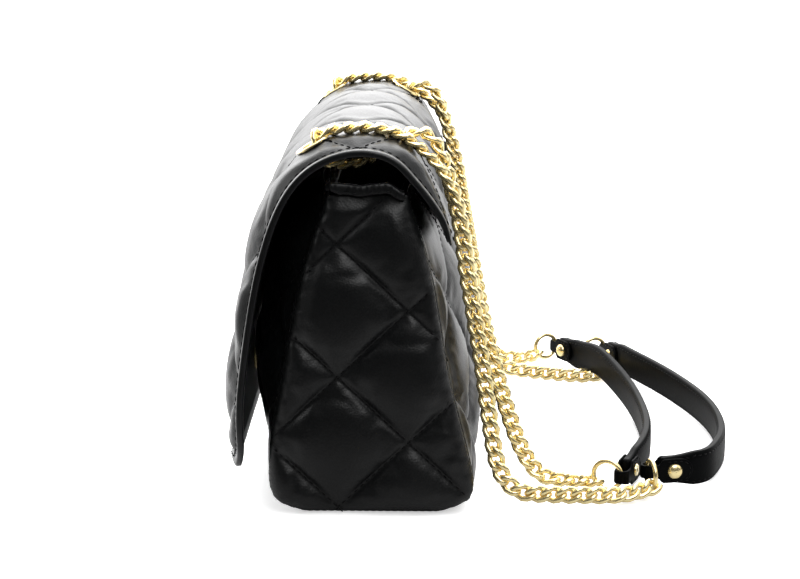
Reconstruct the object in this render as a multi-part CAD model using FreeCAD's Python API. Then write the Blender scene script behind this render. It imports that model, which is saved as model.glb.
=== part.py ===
"""Quilted flap bag on a gold curb chain, with two leather shoulder pads lying behind it.

Millimetres, +Z up. The origin is the middle of the flat base: X runs along the bag's width, the flap
closes towards -Y and the chains fall down the back, on the +Y side.
"""

import FreeCAD, Part
import math
import os

Vec = FreeCAD.Vector
UP = Vec(0, 0, 1)
ACROSS = Vec(1, 0, 0)

# Bag sizes
BAG_WIDTH = 250.0
WALL = 4.0
GUSSET_THICK = 5.0
MOUTH_HEIGHT = 146.0
BASE_HALF = 30.0
SEAM_GAP = 0.1
LINING_THICK = 0.8
BOARD_THICK = 1.8
BOARD_MARGIN = 2.0
HEM_HEIGHT = 5.0
HEM_LAP = 0.5
HEM_INSET = 1.0
HEM_BEVEL = 1.5
FRONT_HEM_HEIGHT = 3.0
FRONT_HEM_LAP = 0.8
FRONT_HEM_BEVEL = 1.2

# Walls from the mouth down to the base: (y, z, how far the wall bulges at mid-width)
FRONT_WALL = [
    (-19, MOUTH_HEIGHT, 1), (-31, MOUTH_HEIGHT - 35, 7), (-40, 67, 10), (-47, 22, 4), (-44.5, 6.5, 0),
    (-BASE_HALF, 0, 0)]
BACK_WALL = [
    (16, MOUTH_HEIGHT, 3), (24, MOUTH_HEIGHT - 24, 9.3), (34.5, 65, 13), (44.5, 24, 5), (45, 7.5, 0),
    (BASE_HALF, 0, 0)]
BULGE_STATIONS = (-1, -0.55, 0, 0.55, 1)

# Soft edge of a gusset: (share of its thickness, how far its outline draws in there)
GUSSET_EDGE = ((0, 0), (0.55, 0.7), (1, 3.0))

# Flap sizes: the outer face from its seam on the back, over the mouth and down the front
FLAP_TOP_HEIGHT = MOUTH_HEIGHT + 25
FLAP_FACE = [
    (36.5, MOUTH_HEIGHT - 22), (29.5, MOUTH_HEIGHT - 1), (12.5, MOUTH_HEIGHT + 21), (-6, FLAP_TOP_HEIGHT),
    (-36, MOUTH_HEIGHT + 11.5), (-52, MOUTH_HEIGHT - 18), (-63, 75), (-66, 43), (-64.5, 22)]
FLAP_WIDTH = 251.0
FLAP_CORNER = 22.0
FLAP_TRIM = 2.0
FLAP_LEATHER = 1.4
FLAP_STIFFENER = 0.8
FLAP_LINING = 0.8
LAYER_GAP = 0.05

# Magnetic snap between flap and front wall
SNAP_HEIGHT = 45.0
SNAP_RADIUS = 9.0
SNAP_THICK = 2.6
SNAP_EDGE = 1.0
SNAP_BEVEL = 1.0
SNAP_POST = 3.0
SNAP_POST_RISE = 1.2
SNAP_POST_CLEAR = 0.5
SNAP_SEAT = 0.6
SOCKET_SEAT = 0.2

# Eyelets in the flap
FRONT_EYELET_Y = -30.0
BACK_EYELET_Y = 15.0
FRONT_EYELET_INSET = 25.5
BACK_EYELET_INSET = 34.0
EYELET_BORE = 6.0
EYELET_TUBE = 0.5
EYELET_FLANGE = 8.8
WASHER_RADIUS = 8.2
EYELET_LIP = 0.8
EYELET_ROLL = 0.6
EYELET_ROLL_REACH = 0.9
FLANGE_BEVEL_WIDTH = 0.6
FLANGE_BEVEL_DROP = 0.4
BORE_BEVEL_WIDTH = 0.4
BORE_BEVEL_DROP = 0.3
FLAP_HOLLOW = 1.4

# Curb chain
LINK_HALF_LENGTH = 5.2
LINK_HALF_WIDTH = 3.1
LINK_TWIST = math.radians(60)
LINK_WIRE = 1.4
LINK_CORNERS = 8
LINK_PITCH = 7.0
RING_REACH = 2.2
ROLL_LINKS = 8
ARC_SHARE = 0.45
STRAIGHT_ANGLE = math.radians(0.5)
ROUTE_STEP = 0.5
GAP_SAMPLES = 40

# Rings, tabs, pads and rivets
RING_RADIUS = 6.65
RING_WIRE = 2.2
RING_SEAT = 0.75
PAD_HEIGHT = 16.5
PAD_END_HEIGHT = 12.5
PAD_HALF = 2.2
PAD_CROWN = 0.5
PAD_START = 5.5
PAD_CLEAR = 0.7
PAD_PAST_TAB = 1.0
PAD_END_STATIONS = 5
TAB_LENGTH = 21.0
TAB_LEATHER = 1.3
TAB_GAP = 0.15
TAB_NECK = 3.1
TAB_MARGIN = 0.4
TAB_SHOULDER = 1.5
TAB_TAPER = 3.0
RIVET_FROM_LOOP = 12.0
RIVET_SHANK = 1.5
RIVET_TUBE = 0.6
RIVET_BORE_DEPTH = 1.5
RIVET_HEAD = 3.5
RIVET_RIM = 0.5
RIVET_DOME = 2.0
RIVET_DOME_STEPS = 6
RIVET_BACK = 2.9
RIVET_BACK_BEVEL = 0.3
RIVET_BACK_HEIGHT = 0.6

# Places worked out from the sizes
PAD_CENTRE = PAD_HEIGHT / 2 + PAD_CLEAR
BODY_HALF = BAG_WIDTH / 2 - GUSSET_THICK - SEAM_GAP
FLAP_THICK = FLAP_LEATHER + FLAP_STIFFENER + FLAP_LINING + 2 * LAYER_GAP
ATTACH_ANGLE = math.radians(35)

os.makedirs("parts", exist_ok=True)


def keep(name, shape):
    """Write one sub-part to its file."""
    shape.exportStep(f"parts/{name}.step")
    print(f"{name}: {len(shape.Solids)} solids, volume {shape.Volume:.0f}")


def spline(points):
    """A smooth edge curve through points."""
    curve = Part.BSplineCurve()
    curve.interpolate(points)
    return curve


def sunk(points, depth, side):
    """Move a run of (y, z) points inwards by depth; side is +1 where the inside lies left of the run."""
    moved = []
    last = len(points) - 1
    for i, (y, z) in enumerate(points):
        y0, z0 = points[max(i - 1, 0)]
        y1, z1 = points[min(i + 1, last)]
        length = math.hypot(y1 - y0, z1 - z0)
        moved.append((y - side * depth * (z1 - z0) / length, z + side * depth * (y1 - y0) / length))
    return moved


def wall_points(wall, station, depth):
    """Points down a wall at a station across the bag, -1 to 1, sunk by depth from its outer face."""
    side = 1 if wall is FRONT_WALL else -1
    swell = 1 - station * station
    outer = [(y - side * bulge * swell, z) for y, z, bulge in wall]
    if depth == 0:
        return outer
    inner = sunk(outer, depth, side)
    inner[0] = (inner[0][0], outer[0][1])
    inner[-1] = (outer[-1][0], outer[-1][1] + depth)
    return inner


def placed(points, x):
    """Turn (y, z) points into points on the plane at x."""
    return [Vec(x, y, z) for y, z in points]


def strip_wire(outer, inner):
    """Closed outline between two smooth runs of points, joined by straight ends."""
    return Part.Wire([
        spline(outer).toShape(),
        Part.makeLine(outer[-1], inner[-1]),
        spline(inner[::-1]).toShape(),
        Part.makeLine(inner[0], outer[0]),
    ])


def wall_layer(wall, depth, thick, half):
    """One layer of a bulged wall, from depth to depth + thick below its outer face."""
    sections = []
    for station in BULGE_STATIONS:
        x = station * half
        outer = placed(wall_points(wall, station, depth), x)
        inner = placed(wall_points(wall, station, depth + thick), x)
        sections.append(strip_wire(outer, inner))
    return Part.makeLoft(sections, True, False)


def end_outline(x, depth):
    """Outline of the bag's end at x, drawn in by depth all round but at the mouth."""
    front = placed(wall_points(FRONT_WALL, 1, depth), x)
    back = placed(wall_points(BACK_WALL, 1, depth), x)
    return Part.Wire([
        spline(front).toShape(),
        Part.makeLine(front[-1], back[-1]),
        spline(back[::-1]).toShape(),
        Part.makeLine(back[0], front[0]),
    ])


def box_between(low, high, bevel=0):
    """Box between two corners, with all its edges bevelled where asked."""
    size = high - low
    box = Part.makeBox(size.x, size.y, size.z, low)
    return box.makeChamfer(bevel, box.Edges) if bevel else box


def turned(shape, place, axis):
    """Move a shape made about +Z so that it stands at place along axis."""
    shape.Placement = FreeCAD.Placement(place, FreeCAD.Rotation(UP, axis))
    return shape


def revolved(profile):
    """Solid of revolution about +Z from a closed run of (radius, height) points."""
    points = [Vec(r, 0, h) for r, h in profile]
    face = Part.Face(Part.makePolygon(points + points[:1]))
    return face.revolve(Vec(0, 0, 0), UP, 360)


def make_walls():
    """Front and back walls, base, board and lining."""
    keep("front_panel", wall_layer(FRONT_WALL, 0, WALL, BODY_HALF))
    keep("back_panel", wall_layer(BACK_WALL, 0, WALL, BODY_HALF))
    base_edge = BASE_HALF - SEAM_GAP
    keep("base_panel", box_between(Vec(-BODY_HALF, -base_edge, 0), Vec(BODY_HALF, base_edge, WALL)))
    end_sheet = BODY_HALF - LINING_THICK
    board_edge = base_edge - BOARD_MARGIN
    board_low = WALL + SEAM_GAP
    board_high = board_low + BOARD_THICK
    board_end = end_sheet - SEAM_GAP
    board_corner = Vec(board_end, board_edge, board_high)
    keep("base_board", box_between(Vec(-board_end, -board_edge, board_low), board_corner))
    sheet = WALL + SEAM_GAP
    sheet_half = end_sheet - SEAM_GAP
    pieces = [wall_layer(wall, sheet, LINING_THICK, sheet_half) for wall in (FRONT_WALL, BACK_WALL)]
    floor_low = board_high + SEAM_GAP
    pieces.append(box_between(
        Vec(-sheet_half, -board_edge, floor_low), Vec(sheet_half, board_edge, floor_low + LINING_THICK)))
    for side in (-1, 1):
        outline = end_outline(side * end_sheet, sheet + SEAM_GAP)
        pieces.append(Part.Face(outline).extrude(Vec(side * (LINING_THICK - SEAM_GAP), 0, 0)))
    keep("lining", Part.makeCompound(pieces))


def make_gussets():
    """Padded end walls with a soft edge, and the folded hems along their tops."""
    inner = BAG_WIDTH / 2 - GUSSET_THICK
    low = MOUTH_HEIGHT + SEAM_GAP
    front_end = FRONT_WALL[0][0] + HEM_INSET
    back_end = BACK_WALL[0][0] - HEM_INSET
    for name, side in (("right", 1), ("left", -1)):
        outlines = [end_outline(side * (inner + part * GUSSET_THICK), depth) for part, depth in GUSSET_EDGE]
        keep(f"{name}_gusset", Part.makeLoft(outlines, True, True))
        near, far = sorted((side * (inner - HEM_LAP), side * (inner + GUSSET_THICK)))
        corners = (Vec(near, front_end, low), Vec(far, back_end, low + HEM_HEIGHT))
        keep(f"{name}_gusset_hem", box_between(*corners, HEM_BEVEL))


def make_front_hem():
    """Folded hem along the top of the front wall, at the most that the wall bulges there."""
    wall_y, low, bulge = FRONT_WALL[0]
    face = wall_y - bulge
    half = BODY_HALF - GUSSET_THICK
    low += SEAM_GAP
    near_corner = Vec(-half, face - FRONT_HEM_LAP, low)
    far_corner = Vec(half, face + WALL + FRONT_HEM_LAP, low + FRONT_HEM_HEIGHT)
    keep("front_hem", box_between(near_corner, far_corner, FRONT_HEM_BEVEL))


def flap_points(depth):
    """Points along the flap, sunk by depth from its outer face."""
    return sunk(FLAP_FACE, depth, 1) if depth else FLAP_FACE


def flap_seat(y, z_guess, depth=0):
    """Place on the flap nearest to (y, z_guess), with its outward direction and its forward direction."""
    curve = spline(placed(flap_points(depth), 0))
    at = curve.parameter(Vec(0, y, z_guess))
    forward = Vec(*curve.tangent(at)[0]).normalize()
    outward = forward.cross(ACROSS)
    if outward.dot(Vec(0, y, z_guess - MOUTH_HEIGHT / 2)) < 0:
        outward = -outward
    return curve.value(at), outward, forward


def eyelet_seats():
    """Place, outward and forward direction of the four eyelets, by name."""
    seats = {}
    rows = (("front", FRONT_EYELET_Y, FRONT_EYELET_INSET), ("back", BACK_EYELET_Y, BACK_EYELET_INSET))
    for row, y, inset in rows:
        place, outward, forward = flap_seat(y, FLAP_TOP_HEIGHT)
        x = FLAP_WIDTH / 2 - inset
        for name, side in (("right", 1), ("left", -1)):
            seats[f"{row}_{name}"] = (place + ACROSS * (side * x), outward, forward)
    return seats


def flap_layer(depth, thick, holes):
    """One layer of the flap with rounded lower corners and holes for the eyelets."""
    half = FLAP_WIDTH / 2
    outer = placed(flap_points(depth), -half)
    inner = placed(flap_points(depth + thick), -half)
    sheet = Part.Face(strip_wire(outer, inner)).extrude(ACROSS * FLAP_WIDTH)
    low = FLAP_FACE[-1][1] - FLAP_TRIM
    reach = 2 * max(abs(y) for y, _ in FLAP_FACE)
    box = Part.makeBox(FLAP_WIDTH, 2 * reach, FLAP_TOP_HEIGHT, Vec(-half, -reach, low))
    middles = [(edge, edge.CenterOfMass) for edge in box.Edges]
    lower = [edge for edge, at in middles if at.z < low + FLAP_CORNER and abs(at.x) > half - FLAP_CORNER]
    return sheet.common(box.makeFillet(FLAP_CORNER, lower)).cut(holes)


def make_flap():
    """The flap's three layers, with holes for the eyelets."""
    bore = EYELET_BORE + EYELET_TUBE + LAYER_GAP
    holes = []
    for place, outward, _ in eyelet_seats().values():
        holes.append(Part.makeCylinder(bore, 4 * FLAP_THICK, place - outward * (3 * FLAP_THICK), outward))
    holes = Part.makeCompound(holes)
    depth = 0
    for name, thick in (
        ("flap_outer", FLAP_LEATHER),
        ("flap_stiffener", FLAP_STIFFENER),
        ("flap_lining", FLAP_LINING),
    ):
        keep(name, flap_layer(depth, thick, holes))
        depth += thick + LAYER_GAP


def make_snap():
    """Magnetic snap: a stud under the flap and a socket on the front wall."""
    rim = SNAP_RADIUS - SNAP_BEVEL
    tip = SNAP_THICK + SNAP_POST_RISE
    hole = SNAP_POST + SNAP_POST_CLEAR
    place, outward, _ = flap_seat(FLAP_FACE[-2][0], SNAP_HEIGHT, FLAP_THICK + SNAP_SEAT)
    stud = revolved([
        (0, 0), (SNAP_RADIUS, 0), (SNAP_RADIUS, SNAP_EDGE), (rim, SNAP_THICK), (SNAP_POST, SNAP_THICK),
        (SNAP_POST, tip), (0, tip)])
    keep("snap_stud", turned(stud, place, -outward))
    curve = spline(placed(wall_points(FRONT_WALL, 0, 0), 0))
    at = curve.parameter(Vec(0, FRONT_WALL[2][0], SNAP_HEIGHT))
    along = Vec(*curve.tangent(at)[0])
    facing = ACROSS.cross(along).normalize()
    if facing.y > 0:
        facing = -facing
    socket = revolved([
        (hole, 0), (SNAP_RADIUS, 0), (SNAP_RADIUS, SNAP_EDGE), (rim, SNAP_THICK), (hole, SNAP_THICK)])
    keep("snap_socket", turned(socket, curve.value(at) + facing * SOCKET_SEAT, facing))


def make_eyelets():
    """Flanged tubes through the flap and the washers they are set against."""
    tube = EYELET_BORE + EYELET_TUBE
    under = -(FLAP_THICK + FLAP_HOLLOW)
    washer_low = under - EYELET_LIP
    roll_top = washer_low - LAYER_GAP
    roll_low = roll_top - EYELET_ROLL
    roll_edge = tube + EYELET_ROLL_REACH
    eyelet_profile = [
        (EYELET_BORE, roll_low), (roll_edge, roll_low), (roll_edge, roll_top), (tube, roll_top), (tube, 0),
        (EYELET_FLANGE, 0), (EYELET_FLANGE, EYELET_LIP - FLANGE_BEVEL_DROP),
        (EYELET_FLANGE - FLANGE_BEVEL_WIDTH, EYELET_LIP), (EYELET_BORE + BORE_BEVEL_WIDTH, EYELET_LIP),
        (EYELET_BORE, EYELET_LIP - BORE_BEVEL_DROP)]
    hole = tube + LAYER_GAP
    washer_profile = [(hole, washer_low), (WASHER_RADIUS, washer_low), (WASHER_RADIUS, under), (hole, under)]
    for name, (place, outward, _) in eyelet_seats().items():
        keep(f"{name}_eyelet", turned(revolved(eyelet_profile), place, outward))
        keep(f"{name}_washer", turned(revolved(washer_profile), place, outward))


def link_solid():
    """One twisted curb link, its round wire cut to four sides."""
    rings = []
    for i in range(LINK_CORNERS):
        t = 2 * math.pi * i / LINK_CORNERS
        centre = link_centre(t)
        along = (link_centre(t + 0.01) - link_centre(t - 0.01)).normalize()
        out = centre - along * centre.dot(along)
        out.normalize()
        side = along.cross(out)
        half = LINK_WIRE / 2
        rings.append([centre + out * half, centre + side * half, centre - out * half, centre - side * half])
    faces = []
    for i, ring in enumerate(rings):
        following = rings[(i + 1) % LINK_CORNERS]
        for k, a in enumerate(ring):
            beside = (k + 1) % len(ring)
            b, c, d = ring[beside], following[beside], following[k]
            faces.append(Part.Face(Part.makePolygon([a, b, c, a])))
            faces.append(Part.Face(Part.makePolygon([a, c, d, a])))
    solid = Part.Solid(Part.Shell(faces))
    if solid.Volume < 0:
        solid.reverse()
    return solid


def link_centre(t):
    """Point on the centre line of a link lying along X, twisted about its own length."""
    turn = LINK_TWIST * math.cos(t)
    across = LINK_HALF_WIDTH * math.sin(t)
    return Vec(LINK_HALF_LENGTH * math.cos(t), across * math.cos(turn), across * math.sin(turn))


class Ring:
    """A ring held in the fold of a tab: its place, its axis and the point where a chain hangs on it."""

    def __init__(self, loop, inward, toward, lift=0.0):
        """Hang a ring at the plan point loop of a pad that runs inward; toward says on which side."""
        self.inward = Vec(*inward, 0).normalize()
        self.across = UP.cross(self.inward)
        if self.across.dot(Vec(*toward, 0)) < 0:
            self.out = -self.across
        else:
            self.out = Vec(self.across)
        self.loop = Vec(*loop, PAD_CENTRE + lift)
        self.centre = self.loop - self.inward * RING_SEAT + self.out * RING_RADIUS

    def attach(self):
        """Point on the ring's wire, low on the side away from the tab, where the last link hangs."""
        return self.centre + (self.out * math.cos(ATTACH_ANGLE) - UP * math.sin(ATTACH_ANGLE)) * RING_RADIUS

    def wire_direction(self):
        """Direction of the ring's wire at that point."""
        return self.out * math.sin(ATTACH_ANGLE) + UP * math.cos(ATTACH_ANGLE)

    def solid(self):
        """The ring itself."""
        return Part.makeTorus(RING_RADIUS, RING_WIRE / 2, self.centre, self.inward)


RINGS = {
    "right_inner": Ring((94, 115), (-0.936, 0.351), (0, -1)),
    "right_outer": Ring((85, 128), (-0.225, 0.974), (1, 0)),
    "left_inner": Ring((-147, 98.5), (0.89, 0.456), (0, -1), 3.0),
    "left_outer": Ring((-150, 127), (0.94, 0.34), (0, -1)),
}

# Where each pad lies between its tabs: (x, y, lift off the ground)
INNER_PAD_RUN = [(40, 131.5, 0), (0, 134, 0), (-41, 131.5, 1.5), (-79, 124.5, 4.5), (-104, 117.5, 5.8)]
OUTER_PAD_RUN = [
    (76, 155.5, 0), (67, 160.5, 0), (50, 166, 0), (20, 170, 0), (-15, 168.5, 0), (-50, 161.5, 0),
    (-85, 151, 0)]

# Where each chain lies from the flap's seam down to its ring
RIGHT_OUTER_FALL = [
    (100, 42.5, 107), (100, 46.5, 84), (100, 50.5, 60), (100, 53.5, 36), (100, 57, 15), (99.5, 64, 4.5),
    (99.2, 77, 3), (100.2, 92, 3), (101.8, 107, 3), (101.2, 119, 3.2)]
RIGHT_INNER_FALL = [
    (91, 43.5, 105), (90, 49, 83), (88.5, 55.5, 60), (86.5, 62, 38), (84.5, 68.5, 19), (83.5, 77, 6),
    (84.5, 86, 3), (87.5, 94, 3.2)]
LEFT_INNER_FALL = [
    (-103, 43, 107), (-109.5, 47, 85), (-119.5, 50.5, 60), (-131, 53, 35), (-141, 56.5, 14),
    (-146.5, 64, 4.5), (-147, 73, 3), (-144.5, 81, 4)]
LEFT_OUTER_FALL = [
    (-93, 43, 107), (-97, 47, 84), (-103, 51.5, 60), (-110, 56, 36), (-115, 61, 15), (-117, 69, 4.5),
    (-115.5, 82, 3), (-110.5, 95, 3), (-106.5, 107, 3), (-107.5, 116.5, 3), (-112.5, 123.5, 3),
    (-121, 125.5, 3), (-130.5, 123.5, 3), (-138.5, 119.5, 3.4)]

# How a chain passes an eyelet: (forward along the flap, height above it), from above to below
EYELET_PASS = [(-19, 2), (-11, 6.8), (-2.5, 3.6), (0.5, -4.5)]
FRONT_UNDER = (-3.5, -12)
BACK_UNDER = (4.5, -10.5)
UNDER_MIDDLE = (-8, MOUTH_HEIGHT + 9.5)
OVER_TOP = [(0, MOUTH_HEIGHT + 29.2), (14, MOUTH_HEIGHT + 25.2), (27.2, MOUTH_HEIGHT + 11.6)]
FLAP_BACK = [(33.4, MOUTH_HEIGHT + 0.2), (37.4, MOUTH_HEIGHT - 12.8)]
HINGE_Y = 40.0
HINGE_Z = MOUTH_HEIGHT - 24


def eyelet_route(seat, under):
    """Route points through an eyelet, from above the flap to below it."""
    place, outward, forward = seat
    return [place + forward * u + outward * h for u, h in EYELET_PASS + [under]]


def chain_route(side, seats, front_fall, front_ring, back_fall, back_ring):
    """Route of one chain: ring, up the back, front eyelet, back eyelet, down the back, ring."""
    front_seat = seats[f"front_{side}"]
    back_seat = seats[f"back_{side}"]
    front_x = front_seat[0].x
    back_x = back_seat[0].x
    over = [Vec(front_x, y, z) for y, z in OVER_TOP]
    up = [Vec(front_x, HINGE_Y, HINGE_Z)]
    up += [Vec(front_x, y, z) for y, z in reversed(FLAP_BACK)] + over[::-1]
    down = [Vec(back_x, y, z) for y, z in FLAP_BACK] + [Vec(back_x, HINGE_Y, HINGE_Z)]
    under = [Vec((front_x + back_x) / 2, *UNDER_MIDDLE)]
    route = [front_ring.attach()] + [Vec(*p) for p in reversed(front_fall)] + up
    route += eyelet_route(front_seat, FRONT_UNDER) + under
    route += eyelet_route(back_seat, BACK_UNDER)[::-1]
    route += down + [Vec(*p) for p in back_fall] + [back_ring.attach()]
    return route


def rounded_route(route):
    """Wire of straight runs and tangent arcs along a route; also returns the arcs' least radius."""
    edges = []
    radii = []
    start = route[0]
    for before, corner, after in zip(route, route[1:], route[2:]):
        first = (corner - before).normalize()
        second = (after - corner).normalize()
        turn = first.getAngle(second)
        if turn < STRAIGHT_ANGLE:
            continue
        reach = ARC_SHARE * min((corner - before).Length, (after - corner).Length)
        radius = reach / math.tan(turn / 2)
        radii.append(radius)
        into = corner - first * reach
        out_of = corner + second * reach
        centre = corner + (second - first).normalize() * math.hypot(radius, reach)
        middle = centre + (corner - centre).normalize() * radius
        edges.append(Part.makeLine(start, into))
        edges.append(Part.Arc(into, middle, out_of).toShape())
        start = out_of
    edges.append(Part.makeLine(start, route[-1]))
    return Part.Wire(edges), min(radii)


def link_places(route, first_ring, last_ring):
    """Placements of the links along a route, rolled at the ends so that they hang on their rings."""
    wire, least = rounded_route(route)
    total = wire.Length - 2 * RING_REACH
    count = round(total / LINK_PITCH) + 1
    pitch = total / (count - 1)
    stations = wire.discretize(Distance=ROUTE_STEP)
    last = len(stations) - 1
    step = wire.Length / last

    def at(length):
        """Point on the route at a length along it."""
        place = min(max(length / step, 0), last)
        i = min(int(place), last - 1)
        return stations[i] + (stations[i + 1] - stations[i]) * (place - i)

    centres = [at(RING_REACH + i * pitch) for i in range(count)]
    tangents = []
    for i in range(count):
        length = RING_REACH + i * pitch
        tangents.append((at(length + RING_REACH) - at(length - RING_REACH)).normalize())
    widths = carried_across(tangents)
    rolls = end_rolls(tangents, widths, first_ring, last_ring)
    places = []
    for centre, along, width, roll in zip(centres, tangents, widths, rolls):
        width = FreeCAD.Rotation(along, math.degrees(roll)).multVec(width)
        normal = along.cross(width)
        turn = FreeCAD.Rotation(along, width, normal, "XYZ")
        places.append(FreeCAD.Placement(centre, turn))
    print(f"chain of {count} links, pitch {pitch:.2f}, length {wire.Length:.0f}, least radius {least:.1f}")
    return places


def carried_across(tangents):
    """Sideways directions carried along the chain without twist, level across the bag at mid-length."""
    middle = len(tangents) // 2
    widths = [None] * len(tangents)
    widths[middle] = ACROSS
    for steps, back in ((range(middle + 1, len(tangents)), -1), (range(middle - 1, -1, -1), 1)):
        for i in steps:
            carried = widths[i + back]
            widths[i] = (carried - tangents[i] * carried.dot(tangents[i])).normalize()
    return widths


def end_rolls(tangents, widths, first_ring, last_ring):
    """Roll of each link: none along the chain, growing over the last few to nest with the rings."""
    rolls = [0.0] * len(tangents)
    ends = ((first_ring, 0, 1, LINK_TWIST), (last_ring, len(tangents) - 1, -1, -LINK_TWIST))
    for ring, end, step, lean in ends:
        wire = ring.wire_direction()
        normal = tangents[end].cross(widths[end])
        found = math.atan2(wire.dot(normal), wire.dot(widths[end]))
        roll = found - lean
        roll -= math.pi * round(roll / math.pi)
        print(f"end link rolls by {math.degrees(roll):.0f} degrees")
        for i in range(ROLL_LINKS):
            rolls[end + step * i] = roll * (1 - i / ROLL_LINKS)
    return rolls


def least_gap(first, second):
    """Least gap between the wires of two links, measured on points along their centre lines."""
    samples = [link_centre(2 * math.pi * i / GAP_SAMPLES) for i in range(GAP_SAMPLES)]
    a = [first.multVec(p) for p in samples]
    b = [second.multVec(p) for p in samples]
    return min((p - q).Length for p in a for q in b) - LINK_WIRE


def make_chains(seats):
    """Both chains, each cut at the flap's seam into a top run and two falls."""
    link = link_solid()
    for side, front_fall, front_ring, back_fall, back_ring in (
        ("right", RIGHT_OUTER_FALL, "right_outer", RIGHT_INNER_FALL, "right_inner"),
        ("left", LEFT_INNER_FALL, "left_inner", LEFT_OUTER_FALL, "left_outer"),
    ):
        first = RINGS[front_ring]
        last = RINGS[back_ring]
        route = chain_route(side, seats, front_fall, first, back_fall, last)
        places = link_places(route, first, last)
        gaps = [least_gap(a, b) for a, b in zip(places, places[1:])]
        print(f"least gap between links {min(gaps):.2f} at {gaps.index(min(gaps))}")
        runs = {f"{front_ring}_chain": [], f"{side}_top_chain": [], f"{back_ring}_chain": []}
        names = list(runs)
        for i, place in enumerate(places):
            if place.Base.z >= HINGE_Z:
                run = names[1]
            else:
                run = names[0] if i < len(places) / 2 else names[2]
            piece = link.copy()
            piece.Placement = place
            runs[run].append(piece)
        for name, pieces in runs.items():
            keep(name, Part.makeCompound(pieces))


def pad_section(place, along, height, low, high):
    """Outline across a pad: flat on the side at low, crowned on the side at high, both along its side."""
    side = UP.cross(along).normalize()
    half = height / 2
    crown = PAD_CROWN if high > low else -PAD_CROWN
    foot = place - UP * half
    head = place + UP * half
    edge = high - crown
    corners = [foot + side * low, head + side * low, head + side * edge, foot + side * edge]
    return Part.Wire([
        Part.makeLine(corners[0], corners[1]),
        Part.makeLine(corners[1], corners[2]),
        Part.Arc(corners[2], place + side * high, corners[3]).toShape(),
        Part.makeLine(corners[3], corners[0]),
    ])


def pad_stations(first, last, run):
    """Places along a pad with their heights: straight in the tabs and along its run between them."""
    straight = TAB_LENGTH + PAD_PAST_TAB - PAD_START
    steps = [PAD_START + straight * k / (PAD_END_STATIONS - 1) for k in range(PAD_END_STATIONS)]
    near = [first.loop + first.inward * s for s in steps]
    far = [last.loop + last.inward * s for s in reversed(steps)]
    middle = [Vec(x, y, PAD_CENTRE + lift) for x, y, lift in run]
    places = near + middle + far
    shares = [(k / PAD_END_STATIONS) ** 2 for k in range(PAD_END_STATIONS)]
    heights = [PAD_END_HEIGHT + (PAD_HEIGHT - PAD_END_HEIGHT) * share for share in shares]
    heights = heights + [PAD_HEIGHT] * len(middle) + heights[::-1]
    return places, heights


def make_pads():
    """Both shoulder pads, each a crowned outer strap and a backing strap."""
    for name, run in (("inner", INNER_PAD_RUN), ("outer", OUTER_PAD_RUN)):
        first = RINGS[f"right_{name}"]
        last = RINGS[f"left_{name}"]
        places, heights = pad_stations(first, last, run)
        holes = Part.makeCompound([rivet_hole(first), rivet_hole(last)])
        for part, sign in (("pad", 1), ("pad_backing", -1)):
            sections = []
            for i, (place, height) in enumerate(zip(places, heights)):
                if i < PAD_END_STATIONS - 1:
                    along = first.inward
                elif i > len(places) - PAD_END_STATIONS:
                    along = -last.inward
                else:
                    along = places[i + 1] - places[i - 1]
                along = Vec(along.x, along.y, 0).normalize()
                sections.append(pad_section(place, along, height, sign * LAYER_GAP / 2, sign * PAD_HALF))
            keep(f"{name}_{part}", Part.makeLoft(sections, True, False).cut(holes))


def rivet_hole(ring):
    """Cylinder through a tab and its pad, where the rivet goes."""
    place = ring.loop + ring.inward * RIVET_FROM_LOOP
    length = 4 * PAD_HALF
    return Part.makeCylinder(RIVET_SHANK + LAYER_GAP, 2 * length, place - ring.across * length, ring.across)


def tab_solid(ring):
    """Leather tab folded round a ring, made about the loop with +X into the pad and +Y across it."""
    inner = PAD_HALF + TAB_GAP
    outer = inner + TAB_LEATHER
    tip = Vec(-outer, 0, 0)
    hollow = Vec(-inner, 0, 0)
    plan = Part.Wire([
        Part.makeLine(Vec(TAB_LENGTH, outer, 0), Vec(0, outer, 0)),
        Part.Arc(Vec(0, outer, 0), tip, Vec(0, -outer, 0)).toShape(),
        Part.makeLine(Vec(0, -outer, 0), Vec(TAB_LENGTH, -outer, 0)),
        Part.makeLine(Vec(TAB_LENGTH, -outer, 0), Vec(TAB_LENGTH, -inner, 0)),
        Part.makeLine(Vec(TAB_LENGTH, -inner, 0), Vec(0, -inner, 0)),
        Part.Arc(Vec(0, -inner, 0), hollow, Vec(0, inner, 0)).toShape(),
        Part.makeLine(Vec(0, inner, 0), Vec(TAB_LENGTH, inner, 0)),
        Part.makeLine(Vec(TAB_LENGTH, inner, 0), Vec(TAB_LENGTH, outer, 0)),
    ])
    half = PAD_END_HEIGHT / 2 - TAB_MARGIN
    fold = Part.Face(plan).extrude(UP * (2 * half)).translated(Vec(0, 0, -half))
    bend = TAB_LENGTH - half
    wide = PAD_START + TAB_SHOULDER
    narrow = wide - TAB_TAPER
    past = -2 * outer
    edge = [
        (bend, -half), (wide, -half), (narrow, -TAB_NECK), (past, -TAB_NECK),
        (past, TAB_NECK), (narrow, TAB_NECK), (wide, half), (bend, half)]
    side = Part.Wire([
        Part.makePolygon([Vec(x, 0, z) for x, z in edge]),
        Part.Arc(Vec(bend, 0, half), Vec(TAB_LENGTH, 0, 0), Vec(bend, 0, -half)).toShape(),
    ])
    outline = Part.Face(side).extrude(Vec(0, 4 * outer, 0)).translated(Vec(0, -2 * outer, 0))
    tab = fold.common(outline)
    tab.Placement = FreeCAD.Placement(ring.loop, FreeCAD.Rotation(ring.inward, ring.across, UP, "XYZ"))
    return tab.cut(rivet_hole(ring))


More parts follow.
